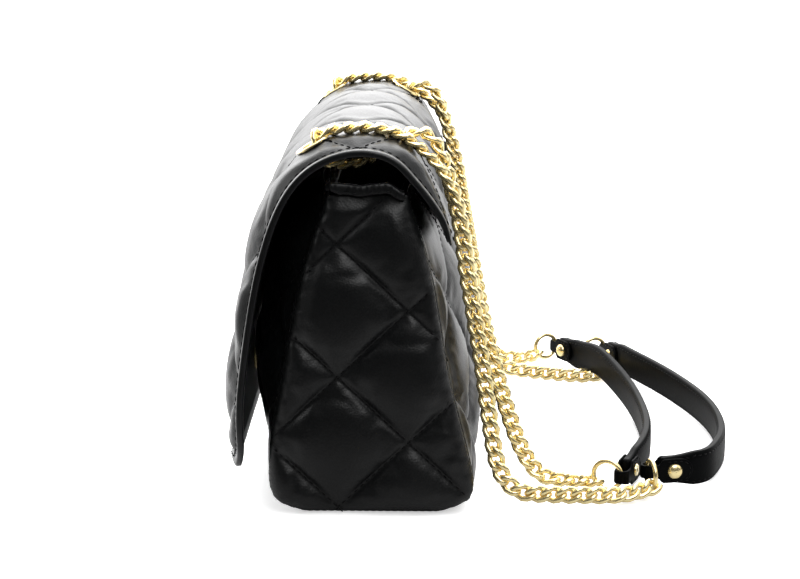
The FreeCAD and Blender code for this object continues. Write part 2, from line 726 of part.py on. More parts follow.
def rivet_solid(ring, dome):
    """Rivet through a tab: a domed head on the side that dome names and a rolled tube on the other."""
    stack = PAD_HALF + TAB_GAP + TAB_LEATHER + LAYER_GAP
    bore = RIVET_SHANK - RIVET_TUBE
    floor = RIVET_BORE_DEPTH - stack
    back = -stack - RIVET_BACK_HEIGHT
    brim = stack + RIVET_RIM
    angles = [math.pi / 2 * k / RIVET_DOME_STEPS for k in range(RIVET_DOME_STEPS)]
    crown = [(RIVET_HEAD * math.cos(a), brim + RIVET_DOME * math.sin(a)) for a in angles]
    crown.append((0, brim + RIVET_DOME))
    profile = [
        (0, floor), (bore, floor), (bore, back), (RIVET_BACK - RIVET_BACK_BEVEL, back), (RIVET_BACK, -stack),
        (RIVET_SHANK, -stack), (RIVET_SHANK, stack), (RIVET_HEAD, stack)]
    place = ring.loop + ring.inward * RIVET_FROM_LOOP
    return turned(revolved(profile + crown), place, ring.across * dome)


def make_strap_ends():
    """Rings, tabs and rivets at the four ends of the pads."""
    rivets = []
    for name, ring in RINGS.items():
        keep(f"{name}_ring", ring.solid())
        keep(f"{name}_tab", tab_solid(ring))
        outside = math.copysign(1, ring.across.y)
        rivets.append(rivet_solid(ring, outside if "outer" in name else -outside))
    keep("rivets", Part.makeCompound(rivets))


make_walls()
make_gussets()
make_front_hem()
make_flap()
make_snap()
make_eyelets()
make_pads()
make_strap_ends()
make_chains(eyelet_seats())
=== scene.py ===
"""Dress the chain shoulder bag: quilted leather, gold curb chains, shoulder pads and a white studio."""
import logging
import math
from dataclasses import dataclass, field
from enum import Enum
from typing import Callable, Iterable, Sequence

import bmesh
import bpy
import numpy as np
from mathutils import Matrix, Vector, noise


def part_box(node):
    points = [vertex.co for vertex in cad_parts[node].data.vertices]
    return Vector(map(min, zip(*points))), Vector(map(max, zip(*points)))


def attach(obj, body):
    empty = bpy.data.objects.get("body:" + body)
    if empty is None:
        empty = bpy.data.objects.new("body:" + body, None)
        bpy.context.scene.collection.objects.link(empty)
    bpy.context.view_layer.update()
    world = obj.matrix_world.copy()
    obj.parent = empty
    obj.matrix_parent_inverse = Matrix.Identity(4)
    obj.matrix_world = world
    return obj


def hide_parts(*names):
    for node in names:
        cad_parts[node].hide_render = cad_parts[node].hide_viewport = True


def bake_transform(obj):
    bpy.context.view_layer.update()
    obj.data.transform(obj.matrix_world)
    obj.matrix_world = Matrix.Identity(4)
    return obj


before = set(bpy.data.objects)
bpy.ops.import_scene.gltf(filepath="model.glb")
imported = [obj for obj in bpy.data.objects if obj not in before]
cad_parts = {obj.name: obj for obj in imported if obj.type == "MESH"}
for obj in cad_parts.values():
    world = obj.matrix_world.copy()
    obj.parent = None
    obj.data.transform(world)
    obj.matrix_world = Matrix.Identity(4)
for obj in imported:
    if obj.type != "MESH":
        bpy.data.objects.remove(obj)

MM = 0.001
UP = Vector((0, 0, 1))
ACROSS = Vector((1, 0, 0))
BACKWARD = Vector((0, 1, 0))
LOG = logging.getLogger("bag")
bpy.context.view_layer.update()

# Height of the mouth and half the body's length in millimetres
MOUTH = 146
BODY_HALF = 119.9

# Profiles of the bag in millimetres, from the mouth down with the bulge, and from the flap's seam forward
FRONT_WALL = [(-19, MOUTH, 1), (-31, 111, 7), (-40, 67, 10), (-47, 22, 4), (-44.5, 6.5, 0), (-30, 0, 0)]
BACK_WALL = [(16, MOUTH, 3), (24, 122, 9.3), (34.5, 65, 13), (44.5, 24, 5), (45, 7.5, 0), (30, 0, 0)]
FLAP_FACE = [
    (36.5, 124), (29.5, 145), (12.5, 167), (-6, 171), (-36, 157.5), (-52, 128), (-63, 75), (-66, 43),
    (-64.3, 18.5)]

# Route of a chain over and under the flap's right-hand end in millimetres, from the seam and back to it
OVER_FLAP = [
    (100, 40.6, 122), (100, 38.4, 133.2), (100, 34.4, 146.6), (100, 27.4, 158.0), (100, 14, 169.4),
    (100, 0, 172.6), (100, -11, 172.2), (100, -19.8, 170.9), (100, -26.4, 167.4), (100, -24.4, 160.2),
    (100, -17.4, 156), (95.75, -8, 155.3), (91.5, 3.5, 159.6), (91.5, 10.4, 163.2), (91.5, 16.4, 169.2),
    (91.5, 25.8, 168.4), (91.5, 31.2, 159.6), (91.5, 34.6, 146.8), (91.5, 38.4, 133.2), (91.5, 40.6, 122)]

# Whole routes of the two chains in millimetres, from ring to ring
RIGHT_ROUTE = [
    (96.96, 129.99, 5.14), (106, 119, 4.5), (109.5, 107, 4.5), (109, 92, 4.5), (108, 77, 4.5),
    (107, 65, 5.2), (104.5, 57, 15), (102, 53.5, 36), (100, 50.5, 60), (100, 46.5, 84), (100, 42.5, 107),
    *OVER_FLAP, (91, 43.5, 105), (90, 49, 83), (88.5, 55.5, 60), (86.5, 62, 38), (84.5, 68.5, 19),
    (83.5, 77, 6), (84.5, 86, 4.5), (87.5, 94, 4.5), (90.45, 103.41, 5.14)]
LEFT_ROUTE = [
    (-142.15, 87.39, 8.14), (-144.5, 81, 5), (-147, 73, 4.5), (-146.5, 64, 5.6), (-141, 56.5, 14),
    (-131, 53, 35), (-119.5, 50.5, 60), (-109.5, 47, 85), (-103, 43, 107),
    *((-x, y, z) for x, y, z in OVER_FLAP), (-93, 43, 107), (-97, 47, 84), (-103, 51.5, 60),
    (-110, 56, 36), (-115, 61, 15), (-117, 69, 5.6), (-115.5, 82, 4.5), (-110.5, 95, 4.5),
    (-106.5, 107, 4.5), (-107.5, 116.5, 4.5), (-112.5, 123.5, 4.5), (-121, 125.5, 4.5),
    (-130.5, 123.5, 4.5), (-138.5, 119.5, 4.6), (-146.59, 115.37, 5.14)]


class Slot(Enum):
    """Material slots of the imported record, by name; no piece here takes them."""

    LEATHER = "black_leather"
    LINING = "lining_fabric"
    GOLD = "gold_metal"


class Value:
    """A shader value; arithmetic on it adds Math nodes."""

    def __init__(self, tree: bpy.types.NodeTree, socket: bpy.types.NodeSocket) -> None:
        """Wrap a socket of a node tree."""
        self.tree = tree
        self.socket = socket

    def math(self, operation: str, other: "Value | float | None" = None, turned: bool = False) -> "Value":
        """Add a Math node.

        Args:
            operation: Blender's name of the operation.
            other: the second value, or None where the operation has one.
            turned: whether the second value comes first.

        Returns:
            The node's result.
        """
        node = self.tree.nodes.new("ShaderNodeMath")
        node.operation = operation
        places = (1, 0) if turned else (0, 1)
        self.tree.links.new(self.socket, node.inputs[places[0]])
        if isinstance(other, Value):
            self.tree.links.new(other.socket, node.inputs[places[1]])
        elif other is not None:
            node.inputs[places[1]].default_value = other
        return Value(self.tree, node.outputs[0])

    def __add__(self, other: "Value | float") -> "Value":
        """Sum."""
        return self.math("ADD", other)

    __radd__ = __add__

    def __sub__(self, other: "Value | float") -> "Value":
        """Difference."""
        return self.math("SUBTRACT", other)

    def __rsub__(self, other: float) -> "Value":
        """Difference from a number."""
        return self.math("SUBTRACT", other, True)

    def __mul__(self, other: "Value | float") -> "Value":
        """Product."""
        return self.math("MULTIPLY", other)

    __rmul__ = __mul__

    def __pow__(self, other: float) -> "Value":
        """Power."""
        return self.math("POWER", other)


class Nodes:
    """A node tree under construction."""

    def __init__(self, tree: bpy.types.NodeTree) -> None:
        """Work on a tree."""
        self.tree = tree

    def node(self, kind: str, settings: dict | None = None, inputs: dict | None = None) -> bpy.types.Node:
        """Add a node.

        Args:
            kind: the node's type.
            settings: its own properties.
            inputs: values, Values or sockets by the input's name or number.

        Returns:
            The new node.
        """
        made = self.tree.nodes.new(kind)
        for key, setting in (settings or {}).items():
            setattr(made, key, setting)
        for key, given in (inputs or {}).items():
            self.feed(made.inputs[key], given)
        return made

    def value(self, node: bpy.types.Node, output: int | str) -> Value:
        """One output of a node as a value."""
        return Value(self.tree, node.outputs[output])

    def feed(self, socket: bpy.types.NodeSocket, given: object) -> None:
        """Link or set one input.

        Args:
            socket: the input.
            given: a Value or a socket to link, or a plain value to set.
        """
        if isinstance(given, Value):
            given = given.socket
        if isinstance(given, bpy.types.NodeSocket):
            self.tree.links.new(given, socket)
        else:
            socket.default_value = given


class Shader(Nodes):
    """A node material under construction, on Object coordinates."""

    def __init__(self, name: str) -> None:
        """Start a material with a Principled surface.

        Args:
            name: the material's name.
        """
        self.material = bpy.data.materials.new(name)
        self.material.use_nodes = True
        super().__init__(self.material.node_tree)
        self.surface = self.tree.nodes["Principled BSDF"]
        self.place = self.node("ShaderNodeTexCoord").outputs["Object"]

    def noise(self, per_metre: float, detail: float = 2, rough: float = 0.5) -> Value:
        """Add noise.

        Args:
            per_metre: waves to the metre.
            detail: how many finer layers it has.
            rough: how strong these are.

        Returns:
            The noise, 0 to 1.
        """
        made = self.node("ShaderNodeTexNoise", None, {
            "Vector": self.place, "Scale": per_metre, "Detail": detail, "Roughness": rough})
        return self.value(made, 0)

    def cells(self, per_metre: float) -> Value:
        """Add cells round scattered points.

        Args:
            per_metre: points to the metre.

        Returns:
            The distance to the nearest point.
        """
        made = self.node("ShaderNodeTexVoronoi", {"feature": "SMOOTH_F1"}, {
            "Vector": self.place, "Scale": per_metre, "Smoothness": 0.4})
        return self.value(made, "Distance")

    def mixed(self, share: Value, low: tuple, high: tuple) -> bpy.types.NodeSocket:
        """Colour between two colours."""
        made = self.node("ShaderNodeMix", {"data_type": "RGBA"}, {0: share, 6: (*low, 1), 7: (*high, 1)})
        return made.outputs[2]

    def bumped(self, height: Value, depth: float, strength: float = 1.0) -> None:
        """Raise the surface by a height from 0 to 1, of so many metres."""
        made = self.node("ShaderNodeBump", None, {"Height": height, "Distance": depth, "Strength": strength})
        self.feed(self.surface.inputs["Normal"], made.outputs[0])

    def finish(self, **values: object) -> bpy.types.Material:
        """Set the surface's inputs.

        Args:
            values: values by the inputs' names, with _ for a space.

        Returns:
            The material.
        """
        for key, given in values.items():
            self.feed(self.surface.inputs[key.replace("_", " ")], given)
        return self.material


@dataclass(frozen=True)
class Leather:
    """Smooth black leather with a fine grain, creases and slightly rubbed high places."""

    name: str
    colour: tuple[float, float, float] = (0.0012, 0.0014, 0.0016)
    worn: tuple[float, float, float] = (0.0042, 0.0046, 0.0048)
    roughness: float = 0.36
    grain: float = 1.0
    ior: float = 1.38

    def material(self) -> bpy.types.Material:
        """Build the node material.

        Returns:
            The material.
        """
        shader = Shader(self.name)
        pores = shader.cells(1150)
        fine = shader.noise(2400, 3)
        folds = shader.noise(170, 4, 0.6)
        broad = shader.noise(28, 3)
        height = pores * 0.55 + fine * 0.25 + folds * 0.35
        shader.bumped(height, 0.00016 * self.grain, 0.75)
        colour = shader.mixed((broad * 0.6 + folds * 0.4) ** 1.6, self.colour, self.worn)
        rough = self.roughness - 0.07 + broad * 0.10 + pores * 0.06
        return shader.finish(
            Base_Color=colour, Roughness=rough, IOR=self.ior, Coat_Weight=0.04, Coat_Roughness=0.25)


@dataclass(frozen=True)
class Metal:
    """Polished pale gold plate with hairlines and faint tarnish."""

    name: str
    colour: tuple[float, float, float] = (1.0, 0.86, 0.47)
    tarnish: tuple[float, float, float] = (0.94, 0.70, 0.31)
    roughness: float = 0.19

    def material(self) -> bpy.types.Material:
        """Build the node material.

        Returns:
            The material.
        """
        shader = Shader(self.name)
        broad = shader.noise(150, 3)
        hair = shader.noise(2600, 2)
        shader.bumped(hair, 0.00002, 0.35)
        colour = shader.mixed(broad ** 2, self.colour, self.tarnish)
        rough = self.roughness - 0.04 + broad * 0.09 + hair * 0.03
        return shader.finish(Base_Color=colour, Roughness=rough, Metallic=0.86)


@dataclass(frozen=True)
class Thread:
    """Waxed sewing thread with its twist."""

    name: str
    colour: tuple[float, float, float] = (0.0010, 0.0010, 0.0012)
    sheen: tuple[float, float, float] = (0.0060, 0.0060, 0.0066)

    def material(self) -> bpy.types.Material:
        """Build the node material.

        Returns:
            The material.
        """
        shader = Shader(self.name)
        twist = shader.noise(3200, 1)
        shader.bumped(twist, 0.00015, 0.8)
        return shader.finish(
            Base_Color=shader.mixed(twist, self.colour, self.sheen), Roughness=0.5 + twist * 0.2, IOR=1.2)


@dataclass(frozen=True)
class Fabric:
    """Fine twill lining."""

    name: str
    colour: tuple[float, float, float] = (0.010, 0.010, 0.012)
    light: tuple[float, float, float] = (0.030, 0.030, 0.034)

    def material(self) -> bpy.types.Material:
        """Build the node material.

        Returns:
            The material.
        """
        shader = Shader(self.name)
        waves = []
        for direction in ("X", "Z"):
            made = shader.node("ShaderNodeTexWave", {"bands_direction": direction}, {
                "Vector": shader.place, "Scale": 420, "Distortion": 0.6, "Detail": 1})
            waves.append(shader.value(made, "Fac"))
        weave = waves[0] * waves[1]
        broad = shader.noise(40, 2)
        shader.bumped(weave, 0.0002, 0.6)
        return shader.finish(
            Base_Color=shader.mixed(weave * 0.7 + broad * 0.3, self.colour, self.light),
            Roughness=0.72 + broad * 0.16)


@dataclass(frozen=True)
class Card:
    """Grey fibre board."""

    name: str

    def material(self) -> bpy.types.Material:
        """Build the node material.

        Returns:
            The material.
        """
        shader = Shader(self.name)
        fibres = shader.noise(500, 4, 0.7)
        shader.bumped(fibres, 0.0002, 0.5)
        return shader.finish(
            Base_Color=shader.mixed(fibres, (0.12, 0.10, 0.08), (0.24, 0.21, 0.17)), Roughness=0.85)


@dataclass
class Finishes:
    """All the finishes of the bag."""

    leather: bpy.types.Material = field(default_factory=Leather("quilted_leather").material)
    strap: bpy.types.Material = field(
        default_factory=Leather("strap_leather", roughness=0.45, grain=0.7, ior=1.07).material)
    edge: bpy.types.Material = field(
        default_factory=Leather("turned_edge_leather", roughness=0.30, grain=0.6, ior=1.46).material)
    hem: bpy.types.Material = field(
        default_factory=Leather("hem_leather", roughness=0.42, grain=1.3, ior=1.32).material)
    gold: bpy.types.Material = field(default_factory=Metal("gold_plate").material)
    thread: bpy.types.Material = field(default_factory=Thread("waxed_thread").material)
    lining: bpy.types.Material = field(default_factory=Fabric("twill_lining").material)
    board: bpy.types.Material = field(default_factory=Card("fibre_board").material)


class Profile:
    """A smooth line through a few points, by natural cubic spline, measured along its own length."""

    SAMPLES = 600

    def __init__(self, points: Sequence[Sequence[float]], measured: int = 2) -> None:
        """Fit the line.

        Args:
            points: points in millimetres; the first columns are a place, the rest ride along.
            measured: how many columns are a place.
        """
        knots = np.array(points, float) * MM
        steps = np.linalg.norm(np.diff(knots[:, :measured], axis=0), axis=1)
        at = np.concatenate([[0], np.cumsum(steps)])
        curves = self.curvatures(knots, steps)
        dense = np.linspace(0, at[-1], self.SAMPLES)
        span = np.clip(np.searchsorted(at, dense) - 1, 0, len(steps) - 1)
        width = steps[span][:, None]
        after = (dense - at[span])[:, None] / width
        before = 1 - after
        self.line = before * knots[span] + after * knots[span + 1] + width ** 2 / 6 * (
            (before ** 3 - before) * curves[span] + (after ** 3 - after) * curves[span + 1])
        pieces = np.linalg.norm(np.diff(self.line[:, :measured], axis=0), axis=1)
        self.along = np.concatenate([[0], np.cumsum(pieces)])
        self.length = float(self.along[-1])

    @staticmethod
    def curvatures(knots: np.ndarray, steps: np.ndarray) -> np.ndarray:
        """Second derivatives at the points, none at the two ends.

        Args:
            knots: the points.
            steps: the distances between them.

        Returns:
            One row to a point.
        """
        count = len(knots)
        system = np.eye(count)
        right = np.zeros_like(knots)
        for i in range(1, count - 1):
            before, after = steps[i - 1], steps[i]
            system[i, i - 1:i + 2] = before, 2 * (before + after), after
            right[i] = 6 * ((knots[i + 1] - knots[i]) / after - (knots[i] - knots[i - 1]) / before)
        return np.linalg.solve(system, right)

    def at(self, distance: float) -> np.ndarray:
        """Point at a distance along the line."""
        return np.array([np.interp(distance, self.along, column) for column in self.line.T])

    def toward(self, distance: float) -> np.ndarray:
        """Unit direction at a distance along the line.

        Args:
            distance: the distance.

        Returns:
            The direction.
        """
        small = self.length / self.SAMPLES
        step = self.at(min(distance + small, self.length)) - self.at(max(distance - small, 0))
        return step / np.linalg.norm(step)

    def nearest(self, column: int, value: float) -> float:
        """Distance along the line where one column first comes nearest to a value."""
        return float(self.along[np.argmin(abs(self.line[:, column] - value))])


FLAP_LINE = Profile(FLAP_FACE)
FRONT_LINE = Profile(FRONT_WALL)
BACK_LINE = Profile(BACK_WALL)
FLAP_THICK = 3.15 * MM

# The snap holds flap and wall in shape: its height, and how far round it that fades
SNAP_HEIGHT = 45.0 * MM
SNAP_REACH = (14 * MM, 32 * MM)

# Sag of the flap's lining between the chains: depth, half length, and the heights over which it grows
SLACK_DEPTH = 10 * MM
SLACK_HALF = 78 * MM
SLACK_HEIGHTS = (58 * MM, 104 * MM)

# The stuffed front wall: gap to the flap's lining, and the heights over which it swells and eases off
WALL_GAP = 2.4 * MM
WALL_SWELLS = (30 * MM, 58 * MM)
WALL_EASES_OFF = (132 * MM, MOUTH * MM)


def flap_inside(height: float) -> float:
    """How far forward the flap's inner face lies at a height, as Y.

    Args:
        height: the height.

    Returns:
        The inner face's Y.
    """
    places = []
    for distance in np.linspace(FLAP_LINE.nearest(0, -10 * MM), FLAP_LINE.length, 60):
        y, z = FLAP_LINE.at(distance)
        dy, dz = FLAP_LINE.toward(distance)
        places.append((z + dy * FLAP_THICK, y - dz * FLAP_THICK))
    heights, forwards = zip(*sorted(places))
    return float(np.interp(height, heights, forwards))


FLAP_INSIDE = np.array([(height, flap_inside(height)) for height in np.linspace(0, 0.17, 120)])


def clear_of_snap(p: float, z: float) -> float:
    """0 at the snap and 1 well away from it."""
    return eased(math.hypot(p, z - SNAP_HEIGHT), *SNAP_REACH)


def slack(p: float, z: float) -> float:
    """How far the flap's lining sags inwards between the chains."""
    along = max(1 - (p / SLACK_HALF) ** 2, 0) ** 2
    return SLACK_DEPTH * along * eased(z, *SLACK_HEIGHTS) * clear_of_snap(p, z)


class Surface:
    """A surface that a panel is laid over, on two lengths p and q in metres."""

    def point(self, p: float, q: float) -> tuple[Vector, Vector]:
        """Place on the surface and its outward direction."""
        raise NotImplementedError


class FlapSurface(Surface):
    """The flap's outer face: p along the bag, q forward from the seam; its ends curl inwards."""

    curl = 5.5 * MM
    curled_ends = (104 * MM, 126 * MM)
    past_seam = (4 * MM, 40 * MM)

    def point(self, p: float, q: float) -> tuple[Vector, Vector]:
        """Place on the flap and its outward direction.

        Args:
            p: length along the bag.
            q: length forward from the seam.

        Returns:
            The place and the direction.
        """
        y, z = FLAP_LINE.at(q)
        dy, dz = FLAP_LINE.toward(q)
        outward = Vector((0, dz, -dy))
        curl = self.curl * eased(abs(p), *self.curled_ends) * eased(q, *self.past_seam)
        return Vector((p, y, z)) - outward * curl, outward


@dataclass
class WallSurface(Surface):
    """A bulged wall's outer face: p along the bag, q down from the mouth."""

    line: Profile
    side: int
    pressed: bool = False

    def bare(self, p: float, q: float) -> Vector:
        """Place on the wall.

        Args:
            p: length along the bag.
            q: length down from the mouth.

        Returns:
            The place.
        """
        y, z, bulge = self.line.at(q)
        swell = 1 - (p / (BODY_HALF * MM)) ** 2
        y += self.side * bulge * swell
        if self.pressed:
            y -= self.against_flap(p, y, z) * max(swell, 0) ** 1.2
        return Vector((p, y, z))

    @staticmethod
    def against_flap(p: float, y: float, z: float) -> float:
        """How far the stuffed front wall swells to reach the flap's lining.

        Args:
            p: length along the bag.
            y: the bulged wall's Y.
            z: its height.

        Returns:
            The swelling, 0 or more.
        """
        lining = float(np.interp(z, FLAP_INSIDE[:, 0], FLAP_INSIDE[:, 1])) + slack(p, z)
        share = eased(z, *WALL_SWELLS) * (1 - 0.6 * eased(z, *WALL_EASES_OFF))
        return max(y - lining - WALL_GAP, 0) * share * clear_of_snap(p, z)

    def point(self, p: float, q: float) -> tuple[Vector, Vector]:
        """Place on the wall and its outward direction.

        Args:
            p: length along the bag.
            q: length down from the mouth.

        Returns:
            The place and the direction.
        """
        small = 0.5 * MM
        along = self.bare(p + small, q) - self.bare(p - small, q)
        down = self.bare(p, min(q + small, self.line.length)) - self.bare(p, max(q - small, 0))
        outward = along.cross(down).normalized()
        if outward.y * self.side < 0 or (abs(outward.y) < 0.3 and outward.z > 0):
            outward = -outward
        return self.bare(p, q), outward


@dataclass
class GussetSurface(Surface):
    """A gusset's outer face: p across the bag, q up from the ground."""

    side: int
    face: float = 125.0 * MM

    def point(self, p: float, q: float) -> tuple[Vector, Vector]:
        """Place on the gusset and its outward direction."""
        return Vector((self.side * self.face, p, q)), Vector((self.side, 0, 0))


@dataclass
class Outline:
    """Edge of a panel in its own two lengths, with round holes."""

    edge: np.ndarray
    holes: Sequence[tuple[float, float, float]] = ()

    def inside(self, places: np.ndarray) -> np.ndarray:
        """Distance inside the edge for each place, below 0 outside it."""
        return self.measure(places)[0]

    def measure(self, places: np.ndarray) -> tuple[np.ndarray, np.ndarray]:
        """Measure places against the edge.

        Args:
            places: rows of p and q.

        Returns:
            Distance inside the edge or a hole's rim, and the nearest point on it, for each row.
        """
        starts = self.edge
        runs = np.roll(self.edge, -1, axis=0) - starts
        offsets = places[:, None, :] - starts[None]
        share = np.clip((offsets * runs).sum(2) / np.maximum((runs ** 2).sum(1), 1e-18), 0, 1)
        feet = starts[None] + share[:, :, None] * runs[None]
        gaps = np.linalg.norm(places[:, None, :] - feet, axis=2)
        pick = gaps.argmin(1)
        rows = np.arange(len(places))
        nearest, distance = feet[rows, pick], gaps[rows, pick]
        rises = (starts[:, 1] > places[:, None, 1]) != (np.roll(starts[:, 1], -1) > places[:, None, 1])
        slope = np.where(abs(runs[:, 1]) < 1e-15, 1e-15, runs[:, 1])
        crossing = starts[:, 0] + (places[:, None, 1] - starts[:, 1]) * runs[:, 0] / slope
        within = (rises & (places[:, None, 0] < crossing)).sum(1) % 2 == 1
        distance = np.where(within, distance, -distance)
        for p, q, radius in self.holes:
            out = places - np.array([p, q])
            far = np.maximum(np.linalg.norm(out, axis=1), 1e-9)
            closer = far - radius < distance
            distance = np.where(closer, far - radius, distance)
            rim = np.array([p, q]) + out / far[:, None] * radius
            nearest = np.where(closer[:, None], rim, nearest)
        return distance, nearest


@dataclass
class Quilt:
    """Diamond quilting: lengths of the diamonds' diagonals and one place where lines cross."""

    wide: float
    tall: float
    cross: tuple[float, float]
    cells: int = 18

    def shares(self, places: np.ndarray) -> np.ndarray:
        """Places counted in diamonds along the two ways of sewing."""
        part = (places - np.array(self.cross)) / np.array([self.wide, self.tall])
        return np.stack([part.sum(1), part[:, 0] - part[:, 1]], axis=1)

    def place(self, shares: np.ndarray) -> np.ndarray:
        """Places from counts of diamonds, the other way about."""
        part = np.stack([shares.sum(1), shares[:, 0] - shares[:, 1]], axis=1) / 2
        return np.array(self.cross) + part * np.array([self.wide, self.tall])

    def lines(self, low: np.ndarray, high: np.ndarray) -> Iterable[np.ndarray]:
        """Sewing lines over a box.

        Args:
            low: lower corner in p and q.
            high: upper corner in p and q.

        Returns:
            Runs of close points along each line.
        """
        reach = np.linalg.norm(high - low)
        slope = np.array([self.wide, self.tall]) / math.hypot(self.wide, self.tall)
        count = int(reach / min(self.wide, self.tall)) + 2
        steps = np.arange(-reach, reach, 0.4 * MM)
        for k in range(-count, count + 1):
            start = np.array(self.cross) + np.array([k * self.wide, 0])
            for lean in (1, -1):
                yield start + steps[:, None] * slope * np.array([1, lean])


def new_object(
    name: str, bm: bmesh.types.BMesh, material: bpy.types.Material,
) -> bpy.types.Object:
    """Turn a bmesh into a smooth-shaded piece with its finish.

    Args:
        name: the piece's name.
        bm: its mesh, freed here.
        material: its finish.

    Returns:
        The piece.
    """
    mesh = bpy.data.meshes.new(name)
    bm.to_mesh(mesh)
    bm.free()
    mesh.shade_smooth()
    mesh.materials.append(material)
    piece = bpy.data.objects.new(name, mesh)
    bpy.context.scene.collection.objects.link(piece)
    LOG.info("%s: %d faces", name, len(mesh.polygons))
    return piece


def rounded(piece: bpy.types.Object, levels: int = 1) -> None:
    """Smooth a piece by subdivision, the same in view and render.

    Args:
        piece: the piece.
        levels: how many times its faces are divided.
    """
    modifier = piece.modifiers.new("smooth", "SUBSURF")
    modifier.levels = levels
    modifier.render_levels = levels


def eased(value: float, low: float, high: float) -> float:
    """Smooth step from 0 at low to 1 at high."""
    share = min(max((value - low) / (high - low), 0), 1)
    return share * share * (3 - 2 * share)


@dataclass
class Stitching:
    """Rows of single stitches, all in one piece."""

    length: float = 2.7 * MM
    gap: float = 1.0 * MM
    width: float = 0.85 * MM
    height: float = 0.7 * MM
    bm: bmesh.types.BMesh = field(default_factory=bmesh.new)

    def row(self, places: Sequence[Vector], outwards: Sequence[Vector]) -> None:
        """Sew along close points.

        Args:
            places: points on the leather.
            outwards: the leather's outward direction at each.
        """
        pitch = self.length + self.gap
        travelled = 0.0
        next_stitch = pitch / 2
        for i in range(1, len(places)):
            step = places[i] - places[i - 1]
            travelled += step.length
            if travelled < next_stitch or step.length == 0:
                continue
            next_stitch += pitch
            along = step.normalized()
            outward = outwards[i]
            side = outward.cross(along).normalized()
            turn = Matrix((along, side, side.cross(along) * -1)).transposed().to_4x4()
            size = Matrix.Diagonal((self.length / 2, self.width / 2, self.height / 2, 1))
            bmesh.ops.create_icosphere(
                self.bm, subdivisions=1, radius=1, matrix=Matrix.Translation(places[i]) @ turn @ size)

    def piece(self, name: str, finishes: Finishes) -> bpy.types.Object:
        """Hand over the stitches as one piece."""
        bmesh.ops.recalc_face_normals(self.bm, faces=self.bm.faces)
        return new_object(name, self.bm, finishes.thread)


